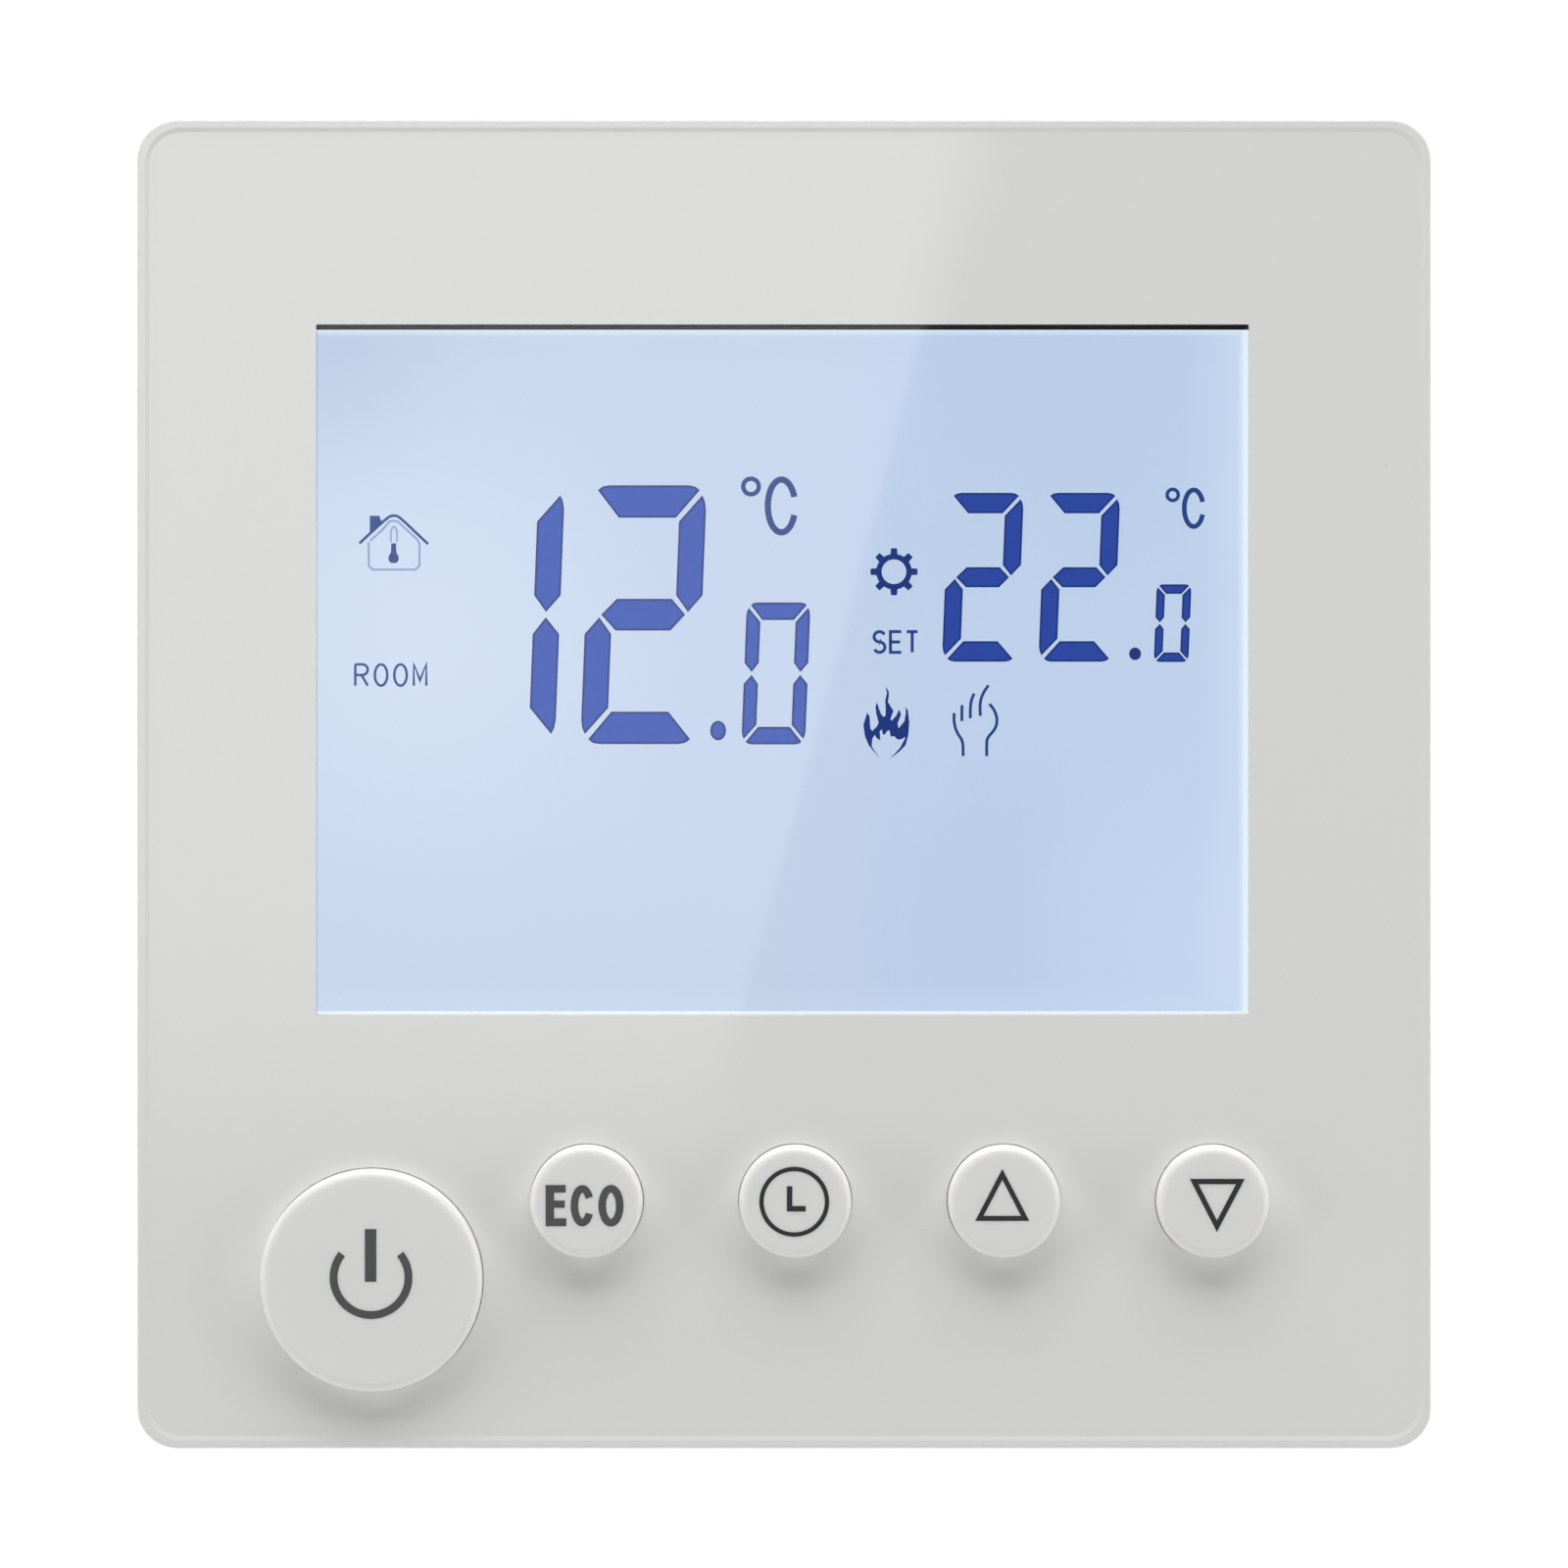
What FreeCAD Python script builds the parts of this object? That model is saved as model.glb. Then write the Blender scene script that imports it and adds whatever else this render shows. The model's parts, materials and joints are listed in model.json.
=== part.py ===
import FreeCAD, Part
import math
import os
import re
import Sketcher
from FreeCAD import Placement, Rotation, Vector

# Flush wall thermostat for a standard square wall box, in millimetres.
#
# The origin is the centre of the wall plane. The front faces -Y, +X is to the right of someone
# facing it and +Z is up. The power box stands in the wall, at +Y.
# A steel plate is screwed to the wall box. The front unit, with the display and five buttons,
# pushes onto it and pulls off along -Y.
#
# "Depth" below counts forward from the wall plane, so a depth of 15 is y = -15 and the power box
# has negative depths.

SIZES = [
    # front unit
    ("face_width", 86.0, "front unit across X"),
    ("face_height", 88.3, "front unit across Z"),
    ("corner_radius", 2.7, "outer corners of the front unit"),
    ("shell_rear", 0.6, "depth of the shell's rear edge"),
    ("shell_inside", 12.0, "depth of the shell's front wall, inside"),
    ("fascia_rear", 13.6, "depth of the shell's front wall, outside"),
    ("fascia_front", 14.93, "depth of the fascia panel's face"),
    ("rim_front", 15.0, "depth of the rim round the fascia"),
    ("rim_width", 0.82, "rim round the fascia"),
    ("rim_corner", 2.15, "inner corners of the rim"),
    ("rim_slope", 0.3, "width of the rim's slope down to the fascia"),
    ("shell_wall", 1.6, "side walls of the shell"),
    ("boss_x", 37.6, "cover screws from the middle, X"),
    ("boss_z", 39.2, "cover screws from the middle, Z"),
    # display
    ("window_left", -31.1, "edges of the display window"),
    ("window_right", 30.9, ""),
    ("window_bottom", -15.4, ""),
    ("window_top", 30.55, ""),
    ("glass_half", 32.3, "display glass, half width"),
    ("glass_top", 31.6, "display glass, top edge"),
    ("glass_bottom", -15.15, "front sheet of the display glass, bottom edge"),
    ("ledge_bottom", -19.6, "rear sheet of the display glass, bottom edge"),
    ("glass_front", 13.3, "depth of the display glass, face"),
    ("foam_gap", 0.05, "between the foam gasket and the window"),
    ("glass_step", 12.25, "depth where the two sheets of glass meet"),
    ("glass_rear", 11.2, "depth of the display glass, rear"),
    ("guide_front", 10.8, "depth of the light guide, front"),
    ("guide_rear", 8.3, "depth of the light guide, rear"),
    ("holder_half", 33.1, "display holder, half width"),
    ("holder_top", 32.7, "display holder, top edge"),
    ("holder_bottom", -20.5, "display holder, bottom edge"),
    # display board and rear cover
    ("board_front", 6.8, "depth of the display board, front"),
    ("board_rear", 5.2, "depth of the display board, rear"),
    ("cover_front", 4.2, "depth of the rear cover, front"),
    ("cover_rear", 2.8, "depth of the rear cover, rear"),
    # buttons
    ("power_x", -27.38, "power button centre"),
    ("power_z", -32.91, ""),
    ("power_radius", 7.37, "power button"),
    ("key_radius", 3.74, "small buttons"),
    ("key_z", -27.67, "small button centres"),
    ("key_first_x", -13.1, "first small button"),
    ("key_pitch", 13.847, "between small buttons"),
    ("key_gap", 0.05, "all round each button, in its hole"),
    ("key_front", 16.9, "depth of the button faces"),
    ("key_edge", 0.6, "rounding of the button faces"),
    ("key_flange", 0.8, "flange that keeps a button in the shell"),
    ("flange_front", 11.7, "depth of the flange, front"),
    ("flange_rear", 10.9, "depth of the flange, rear"),
    ("switch_front", 9.9, "depth of the tactile switches' faces"),
    ("plunger_front", 10.7, "depth of the switch plungers' faces"),
    # mounting plate
    ("plate_front", 1.2, "plate thickness"),
    ("plate_half_x", 41.1, "plate, half width"),
    ("plate_half_z", 42.25, "plate, half height"),
    ("tab_half", 7.0, "clip tabs, half width"),
    ("tab_front", 6.4, "depth of the clip tabs' tips"),
    ("screw_pitch", 60.0, "between the wall screws"),
    ("slot_half", 2.1, "wall screw slots, half width"),
    ("slot_length", 8.4, "wall screw slots, end to end"),
    # power box
    ("box_half_x", 25.0, "power box, half width"),
    ("box_half_z", 23.0, "power box, half height"),
    ("box_wall", 1.5, "power box walls"),
    ("box_chamfer", 3.5, "power box corners"),
    ("box_depth", 27.0, "power box behind the wall plane"),
    ("box_seat", 0.2, "power box rim let into the plate"),
    ("box_screw_x", 20.6, "plate screws from the middle, X"),
    ("box_screw_z", 18.6, "plate screws from the middle, Z"),
    ("pcb_front", 8.0, "power board behind the wall plane, front"),
    ("pcb_rear", 9.6, "power board behind the wall plane, rear"),
    ("header_z", 14.0, "header between the two boards"),
    ("pin_pitch", 2.54, "header pins"),
    ("pin_half", 0.32, "header pins, half width"),
    # terminals
    ("bay_half", 21.6, "terminal bay, half width"),
    ("bay_top", -9.4, "terminal bay, top"),
    ("block_rear", 26.6, "terminal blocks behind the wall plane, rear"),
    ("block_bottom", -22.8, "terminal blocks, wire side"),
    ("mains_left", -21.4, "mains block, left end"),
    ("mains_pitch", 7.5, "between mains terminals"),
    ("sensor_left", 10.6, "sensor block, left end"),
    ("sensor_pitch", 5.0, "between sensor terminals"),
    ("clamp_z", -17.2, "screw centres of the terminals"),
    ("bar_front", 18.0, "contact bars behind the wall plane, front"),
    ("bar_rear", 19.0, "contact bars behind the wall plane, rear"),
]
VALUE = {alias: value for alias, value, _ in SIZES}
ALIAS = re.compile(r"[a-z][a-z_]*")

MAINS_POLES = 4
SENSOR_POLES = 2
HEADER_PINS = 8
KEYS = ["eco", "clock", "up", "down"]

doc = FreeCAD.newDocument("thermostat")
sheet = doc.addObject("Spreadsheet::Sheet", "dims")
for row, (alias, value, meaning) in enumerate(SIZES, start=1):
    sheet.set(f"A{row}", alias)
    sheet.set(f"B{row}", str(value))
    sheet.set(f"C{row}", meaning)
    sheet.setAlias(f"B{row}", alias)
doc.recompute()

nodes = []


# ---------------------------------------------------------------- sizes


def spell(text):
    """A size expression with every alias written as a cell of the sheet."""
    return ALIAS.sub(lambda m: "dims." + m.group() if m.group() in VALUE else m.group(), str(text))


def number(text):
    """The present value of a size expression."""
    return float(sheet.evalExpression(spell(text)))


def bind(obj, prop, text):
    obj.setExpression(prop, spell(text))


def node(obj):
    """Marks an object as one of the finished pieces."""
    nodes.append(obj)
    return obj


# ---------------------------------------------------------------- sketches


def sketch(body, name, offset, role="XZ_Plane"):
    """A sketch parallel to an origin plane. On XZ it is drawn in X and Z, at a depth."""
    sk = body.newObject("Sketcher::SketchObject", name)
    plane = next(o for o in body.Origin.OriginFeatures if o.Role == role)
    sk.AttachmentSupport = (plane, [""])
    sk.MapMode = "FlatFace"
    bind(sk, "AttachmentOffset.Base.z", offset)
    return sk


def fix(sk, kind, geo, point, text):
    """Ties one coordinate of a sketch point to a size expression."""
    index = sk.addConstraint(Sketcher.Constraint(kind, -1, 1, geo, point, number(text)))
    sk.setExpression(f"Constraints[{index}]", spell(text))


def fix_radius(sk, geo, text):
    index = sk.addConstraint(Sketcher.Constraint("Radius", geo, number(text)))
    sk.setExpression(f"Constraints[{index}]", spell(text))


def rectangle(sk, left, right, bottom, top):
    x0, x1, z0, z1 = (number(t) for t in (left, right, bottom, top))
    corners = [Vector(x0, z0, 0), Vector(x1, z0, 0), Vector(x1, z1, 0), Vector(x0, z1, 0)]
    first = sk.GeometryCount
    for i in range(4):
        sk.addGeometry(Part.LineSegment(corners[i], corners[(i + 1) % 4]), False)
    for i in range(4):
        sk.addConstraint(Sketcher.Constraint("Coincident", first + i, 2, first + (i + 1) % 4, 1))
    for i in (0, 2):
        sk.addConstraint(Sketcher.Constraint("Horizontal", first + i))
        sk.addConstraint(Sketcher.Constraint("Vertical", first + i + 1))
    fix(sk, "DistanceX", first, 1, left)
    fix(sk, "DistanceY", first, 1, bottom)
    fix(sk, "DistanceX", first + 2, 1, right)
    fix(sk, "DistanceY", first + 2, 1, top)


def polygon(sk, points):
    """A closed outline through points given as pairs of size expressions."""
    spots = [Vector(number(x), number(y), 0) for x, y in points]
    first = sk.GeometryCount
    count = len(points)
    for i in range(count):
        sk.addGeometry(Part.LineSegment(spots[i], spots[(i + 1) % count]), False)
    for i in range(count):
        sk.addConstraint(
            Sketcher.Constraint("Coincident", first + i, 2, first + (i + 1) % count, 1)
        )
    for i, (x, y) in enumerate(points):
        fix(sk, "DistanceX", first + i, 1, x)
        fix(sk, "DistanceY", first + i, 1, y)


def octagon(sk, half_x, half_z, chamfer):
    """A centred rectangle with its corners cut off at 45 degrees."""
    corners = []
    for sx, sz, order in ((1, -1, 1), (1, 1, -1), (-1, 1, 1), (-1, -1, -1)):
        pair = [
            (f"{sx} * ({half_x} - {chamfer})", f"{sz} * ({half_z})"),
            (f"{sx} * ({half_x})", f"{sz} * ({half_z} - {chamfer})"),
        ]
        corners += pair[::order]
    polygon(sk, corners)


def circle(sk, x, z, radius):
    geo = sk.addGeometry(
        Part.Circle(Vector(number(x), number(z), 0), Vector(0, 0, 1), number(radius)), False
    )
    fix_radius(sk, geo, radius)
    fix(sk, "DistanceX", geo, 3, x)
    fix(sk, "DistanceY", geo, 3, z)


def slot(sk, x, length, half_width):
    """A round-ended slot along X, centred on x at mid height."""
    r = number(half_width)
    reach = number(length) / 2 - r
    mid = number(x)
    up, down = math.pi / 2, 3 * math.pi / 2
    left = sk.addGeometry(
        Part.ArcOfCircle(Part.Circle(Vector(mid - reach, 0, 0), Vector(0, 0, 1), r), up, down)
    )
    right = sk.addGeometry(
        Part.ArcOfCircle(Part.Circle(Vector(mid + reach, 0, 0), Vector(0, 0, 1), r), -up, up)
    )
    top = sk.addGeometry(
        Part.LineSegment(Vector(mid - reach, r, 0), Vector(mid + reach, r, 0))
    )
    base = sk.addGeometry(
        Part.LineSegment(Vector(mid - reach, -r, 0), Vector(mid + reach, -r, 0))
    )
    joins = ((left, 1, top, 1), (right, 2, top, 2), (left, 2, base, 1), (right, 1, base, 2))
    for arc, end, line, point in joins:
        sk.addConstraint(Sketcher.Constraint("Tangent", arc, end, line, point))
    sk.addConstraint(Sketcher.Constraint("Horizontal", base))
    sk.addConstraint(Sketcher.Constraint("Equal", left, right))
    fix_radius(sk, left, half_width)
    fix(sk, "DistanceX", left, 3, f"{x} - {length} / 2 + {half_width}")
    fix(sk, "DistanceX", right, 3, f"{x} + {length} / 2 - {half_width}")
    sk.addConstraint(Sketcher.Constraint("PointOnObject", left, 3, -1))


# ---------------------------------------------------------------- features


def add(body, name, rear, front, *outlines):
    """Pads outlines from one depth forward to another."""
    sk = sketch(body, name + "_sketch", rear)
    for draw, *sizes in outlines:
        draw(sk, *sizes)
    pad = body.newObject("PartDesign::Pad", name)
    pad.Profile = sk
    bind(pad, "Length", f"({front}) - ({rear})")


def remove(body, name, rear, front, *outlines):
    """Pockets outlines from one depth back to another."""
    sk = sketch(body, name + "_sketch", front)
    for draw, *sizes in outlines:
        draw(sk, *sizes)
    pocket = body.newObject("PartDesign::Pocket", name)
    pocket.Profile = sk
    bind(pocket, "Length", f"({front}) - ({rear})")


def remove_down(body, name, bottom, top, *outlines):
    """Pockets outlines drawn in X and Y, from one height down to another."""
    sk = sketch(body, name + "_sketch", top, "XY_Plane")
    for draw, *sizes in outlines:
        draw(sk, *sizes)
    pocket = body.newObject("PartDesign::Pocket", name)
    pocket.Profile = sk
    bind(pocket, "Length", f"({top}) - ({bottom})")


def dress(body, kind, name, size, pick):
    """Fillets or chamfers the edges whose bounding box passes a test."""
    doc.recompute()
    base = body.Tip
    edges = [f"Edge{i}" for i, e in enumerate(base.Shape.Edges, 1) if pick(e.BoundBox)]
    feature = body.newObject("PartDesign::" + kind, name)
    feature.Base = (base, edges)
    bind(feature, "Radius" if kind == "Fillet" else "Size", size)
    return feature


def along_y(box, half_x, half_z):
    """True for an edge along Y at the corner of a centred rectangle."""
    corner = abs(abs(box.XMin) - half_x) < 0.01 and abs(abs(box.ZMin) - half_z) < 0.01
    return corner and box.XLength < 0.01 and box.ZLength < 0.01


def flat_at(box, y):
    """True for an edge that lies in the plane at y."""
    return abs(box.YMin - y) < 0.01 and box.YLength < 0.01


def inside(box, half_x, half_z):
    """True for an edge within a centred rectangle."""
    reach_x = max(abs(box.XMin), abs(box.XMax))
    reach_z = max(abs(box.ZMin), abs(box.ZMax))
    return reach_x < half_x + 0.05 and reach_z < half_z + 0.05


def part_body(name):
    return node(doc.addObject("PartDesign::Body", name))


# ---------------------------------------------------------------- primitives


def block(name, x, y, z):
    """A box between pairs of size expressions."""
    box = doc.addObject("Part::Box", name)
    for prop, axis, (low, high) in (("Length", "x", x), ("Width", "y", y), ("Height", "z", z)):
        bind(box, prop, f"({high}) - ({low})")
        bind(box, "Placement.Base." + axis, low)
    return box


def rod(name, x, z, radius, y):
    """A cylinder along Y, between a pair of size expressions."""
    cylinder = doc.addObject("Part::Cylinder", name)
    cylinder.Placement = Placement(Vector(), Rotation(Vector(1, 0, 0), -90))
    bind(cylinder, "Radius", radius)
    bind(cylinder, "Height", f"({y[1]}) - ({y[0]})")
    bind(cylinder, "Placement.Base.x", x)
    bind(cylinder, "Placement.Base.y", y[0])
    bind(cylinder, "Placement.Base.z", z)
    return cylinder


def fuse(name, shapes):
    joined = doc.addObject("Part::MultiFuse", name)
    joined.Shapes = shapes
    return joined


def cut(name, base, tool):
    result = doc.addObject("Part::Cut", name)
    result.Base = base
    result.Tool = tool
    return result


def group(name, shapes):
    """Separate solids that make up one piece."""
    many = doc.addObject("Part::Compound", name)
    many.Links = shapes
    return many


# ---------------------------------------------------------------- buttons


def key_x(index):
    return f"key_first_x + {index} * key_pitch"


def key_spots():
    """Name, centre and radius of each button, as size expressions."""
    spots = [("power", "power_x", "power_z", "power_radius")]
    for index, name in enumerate(KEYS):
        spots.append((name, key_x(index), "key_z", "key_radius"))
    return spots


def key_holes(clearance):
    return [(circle, x, z, f"{radius} + {clearance}") for _, x, z, radius in key_spots()]


def make_cap(name, x, z, radius):
    """A round cap with a soft edge, hollow behind, and a flange that stays in the shell."""
    body = part_body(name + "_button")
    outline = body.newObject("Sketcher::SketchObject", name + "_profile")
    plane = next(o for o in body.Origin.OriginFeatures if o.Role == "XY_Plane")
    outline.AttachmentSupport = (plane, [""])
    outline.MapMode = "FlatFace"
    polygon(outline, [
        ("0", "-key_front"),
        (radius, "-key_front"),
        (radius, "-flange_front"),
        (f"{radius} + key_flange", "-flange_front"),
        (f"{radius} + key_flange", "-flange_rear"),
        (f"{radius} - 1.3", "-flange_rear"),
        (f"{radius} - 1.3", "-key_front + 1.6"),
        ("1.2", "-key_front + 1.6"),
        ("1.2", "-plunger_front"),
        ("0", "-plunger_front"),
    ])
    turn = body.newObject("PartDesign::Revolution", name + "_turned")
    turn.Profile = outline
    turn.ReferenceAxis = (outline, ["V_Axis"])
    turn.Angle = 360
    face = -VALUE["key_front"]
    dress(body, "Fillet", name + "_edge", "key_edge",
          lambda box: flat_at(box, face) and box.XLength > 1)
    bind(body, "Placement.Base.x", x)
    bind(body, "Placement.Base.z", z)


def make_plunger(name, x, z):
    """The moving stud of a tactile switch."""
    node(rod(name + "_plunger", x, z, "1.75", ("-plunger_front", "-plunger_front + 1.4")))


# ---------------------------------------------------------------- front unit


def make_shell():
    body = part_body("front_shell")
    half_x, half_z = VALUE["face_width"] / 2, VALUE["face_height"] / 2
    rim = VALUE["rim_width"]
    front = -VALUE["rim_front"]
    add(body, "shell_block", "shell_rear", "rim_front",
        (rectangle, "-face_width / 2", "face_width / 2", "-face_height / 2", "face_height / 2"))
    dress(body, "Fillet", "shell_corners", "corner_radius",
          lambda box: along_y(box, half_x, half_z))
    remove(body, "shell_recess", "fascia_rear", "rim_front",
           (rectangle, "rim_width - face_width / 2", "face_width / 2 - rim_width",
            "rim_width - face_height / 2", "face_height / 2 - rim_width"))
    dress(body, "Fillet", "recess_corners", "rim_corner",
          lambda box: along_y(box, half_x - rim, half_z - rim))
    slope = dress(body, "Chamfer", "recess_edge", "rim_slope",
                  lambda box: flat_at(box, front) and inside(box, half_x - rim, half_z - rim))
    slope.ChamferType = "Two distances"
    bind(slope, "Size2", "rim_front - fascia_front")
    dress(body, "Fillet", "shell_front_edge", "0.15",
          lambda box: flat_at(box, front) and not inside(box, half_x - 0.5, half_z - 0.5))
    remove(body, "shell_cavity", "shell_rear - 1", "shell_inside",
           (rectangle, "shell_wall - face_width / 2", "face_width / 2 - shell_wall",
            "shell_wall - face_height / 2", "face_height / 2 - shell_wall"))
    remove(body, "display_opening", "shell_inside - 1", "fascia_rear + 0.2",
           (rectangle, "-holder_half - 0.3", "holder_half + 0.3",
            "holder_bottom - 0.3", "holder_top + 0.3"))
    remove(body, "button_holes", "shell_inside - 1", "fascia_rear + 0.2", *key_holes("key_gap"))
    bosses = [(f"{sx} * boss_x", f"{sz} * boss_z") for sx in (-1, 1) for sz in (-1, 1)]
    add(body, "screw_bosses", "board_front", "shell_inside + 0.2",
        *[(circle, x, z, "2.3") for x, z in bosses])
    remove(body, "boss_holes", "board_front - 1", "shell_inside - 0.5",
           *[(circle, x, z, "1.05") for x, z in bosses])
    vents = [(rectangle, f"{i} * 4.4 - 0.7", f"{i} * 4.4 + 0.7", "-10.6", "-3.2")
             for i in range(-6, 7)]
    remove_down(body, "top_vents", "face_height / 2 - shell_wall - 0.5", "face_height / 2 + 1",
                *vents)
    remove_down(body, "bottom_vents", "-face_height / 2 - 1", "shell_wall + 0.5 - face_height / 2",
                *vents)
    remove_down(body, "release_slot", "-face_height / 2 - 1", "0.9 - face_height / 2",
                (rectangle, "-4.5", "4.5", "-2.0", "-0.2"))


def make_fascia():
    body = part_body("fascia_panel")
    half_x = VALUE["face_width"] / 2 - VALUE["rim_width"]
    half_z = VALUE["face_height"] / 2 - VALUE["rim_width"]
    add(body, "fascia_sheet", "fascia_rear", "fascia_front",
        (rectangle, "rim_width - face_width / 2", "face_width / 2 - rim_width",
         "rim_width - face_height / 2", "face_height / 2 - rim_width"))
    dress(body, "Fillet", "fascia_corners", "rim_corner",
          lambda box: along_y(box, half_x, half_z))
    remove(body, "fascia_window", "fascia_rear - 1", "fascia_front + 1",
           (rectangle, "window_left", "window_right", "window_bottom", "window_top"))
    remove(body, "fascia_holes", "fascia_rear - 1", "fascia_front + 1", *key_holes("key_gap"))


def make_lens():
    body = part_body("window_lens")
    add(body, "lens_sheet", "fascia_rear", "fascia_front",
        (rectangle, "window_left", "window_right", "window_bottom", "window_top"))


def make_display():
    glass = part_body("lcd_glass")
    add(glass, "rear_sheet", "glass_rear", "glass_step",
        (rectangle, "-glass_half", "glass_half", "ledge_bottom", "glass_top"))
    add(glass, "front_sheet", "glass_step", "glass_front",
        (rectangle, "-glass_half", "glass_half", "glass_bottom", "glass_top"))

    gasket = part_body("lcd_gasket")
    add(gasket, "foam_sheet", "glass_front", "fascia_rear - foam_gap",
        (rectangle, "-holder_half", "holder_half", "-17.4", "holder_top"))
    remove(gasket, "foam_opening", "glass_front - 1", "fascia_rear + 1",
           (rectangle, "window_left - 0.8", "window_right + 0.8", "window_bottom - 0.5",
            "window_top - 0.28"))

    holder = part_body("lcd_holder")
    add(holder, "holder_block", "board_front", "glass_front",
        (rectangle, "-holder_half", "holder_half", "holder_bottom", "holder_top"))
    remove(holder, "holder_tray", "guide_rear", "glass_front + 1",
           (rectangle, "-glass_half - 0.05", "glass_half + 0.05", "ledge_bottom - 0.05",
            "glass_top + 0.05"))
    remove(holder, "holder_underside", "board_front - 1", "board_front + 0.5",
           (rectangle, "-31", "31", "-16", "30.5"))
    add(holder, "ledge_bar", "glass_step + 0.1", "glass_front",
        (rectangle, "-glass_half - 0.3", "glass_half + 0.3", "ledge_bottom - 0.3",
         "glass_bottom"))
    remove(holder, "connector_slot", "board_front - 1", "guide_rear + 0.2",
           (rectangle, "-26.2", "26.2", "-19.4", "-17.2"))
    remove(holder, "led_slots", "board_front - 1", "guide_rear + 0.2",
           *[(rectangle, "30.9", "32.1", f"{z - 2.1}", f"{z + 2.1}") for z in (-8.0, 7.5, 23.0)])

    node(block("backlight_diffuser", ("-32", "32"), ("-glass_rear", "-guide_front"),
               ("-16.4", "31.3")))
    node(block("light_guide", ("-32", "30.6"), ("-guide_front", "-guide_rear"),
               ("-16.4", "31.3")))
    leds = [block(f"led_{i}", ("31", "32"), ("-10.6", "-board_front"), (f"{z - 2}", f"{z + 2}"))
            for i, z in enumerate((-8.0, 7.5, 23.0))]
    node(group("backlight_leds", leds))
    node(block("zebra_connector", ("-26", "26"), ("-glass_rear", "-board_front"),
               ("-19.3", "-17.3")))


def make_display_board():
    body = part_body("display_board")
    add(body, "board_sheet", "board_rear", "board_front",
        (rectangle, "-41", "41", "-40.6", "40.6"))
    remove(body, "board_holes", "board_rear - 1", "board_front + 1",
           *[(circle, f"{sx} * boss_x", f"{sz} * boss_z", "1.2")
             for sx in (-1, 1) for sz in (-1, 1)])


def make_switch_bodies():
    """Square tactile switches, each with a well for its plunger."""
    switches = []
    for name, x, z, _ in key_spots():
        base = block(f"{name}_switch_block", (f"{x} - 3", f"{x} + 3"),
                     ("-switch_front", "-board_front"), (f"{z} - 3", f"{z} + 3"))
        well = rod(f"{name}_switch_well", x, z, "2.05",
                   ("-switch_front - 1", "-switch_front + 1.4"))
        switches.append(cut(f"{name}_switch", base, well))
    node(group("tactile_switch_bodies", switches))


def make_board_parts():
    """What stands on the front of the display board, below the display."""
    on_board = "-board_front"
    node(block("controller_chip", ("3.1", "12.1"), ("-board_front - 1.4", on_board),
               ("-40.2", "-31.2")))
    chips = [block(f"small_chip_{i}", (f"{x}", f"{x + 3.9}"), ("-board_front - 1.5", on_board),
                   ("-38.6", "-33.7")) for i, x in enumerate((15.0, 21.5))]
    node(group("small_chips", chips))
    chip_parts = []
    for i in range(14):
        x = -36.5 if i < 7 else 35.2
        z = -18.0 + (i % 7) * 6.0
        chip_parts.append(block(f"chip_part_{i}", (f"{x}", f"{x + 1.6}"),
                                ("-board_front - 0.6", on_board), (f"{z}", f"{z + 0.8}")))
    node(group("chip_resistors", chip_parts))
    crystal = doc.addObject("Part::Cylinder", "clock_crystal")
    crystal.Placement = Placement(Vector(), Rotation(Vector(0, 1, 0), 90))
    bind(crystal, "Radius", "1.0")
    bind(crystal, "Height", "6.0")
    bind(crystal, "Placement.Base.x", "-17.4")
    bind(crystal, "Placement.Base.y", "-board_front - 1.0")
    bind(crystal, "Placement.Base.z", "-37.2")
    node(crystal)
    node(rod("backup_cell", "-5.5", "-35.9", "4.5", ("-board_front - 2", on_board)))
    bead = doc.addObject("Part::Sphere", "sensor_bead")
    bind(bead, "Radius", "1.2")
    bind(bead, "Placement.Base.x", "32.5")
    bind(bead, "Placement.Base.y", "-board_front - 3.2")
    bind(bead, "Placement.Base.z", "-37.6")
    legs = [rod(f"sensor_leg_{i}", f"{x}", "-37.6", "0.2", ("-board_front - 3.2", on_board))
            for i, x in enumerate((31.9, 33.1))]
    node(fuse("room_sensor", [bead] + legs))


def make_socket():
    """The header socket behind the display board, with one square hole for each pin."""
    body = part_body("header_socket")
    reach = HEADER_PINS * VALUE["pin_pitch"] / 2
    add(body, "socket_block", "0.9", "board_rear",
        (rectangle, f"{-reach}", f"{reach}", "header_z - 1.25", "header_z + 1.25"))
    wide = "(pin_half + 0.1)"
    holes = []
    for i in range(HEADER_PINS):
        x = f"{i - (HEADER_PINS - 1) / 2} * pin_pitch"
        holes.append((rectangle, f"{x} - {wide}", f"{x} + {wide}", f"header_z - {wide}",
                      f"header_z + {wide}"))
    remove(body, "socket_holes", "0.5", "board_rear - 0.3", *holes)


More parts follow.
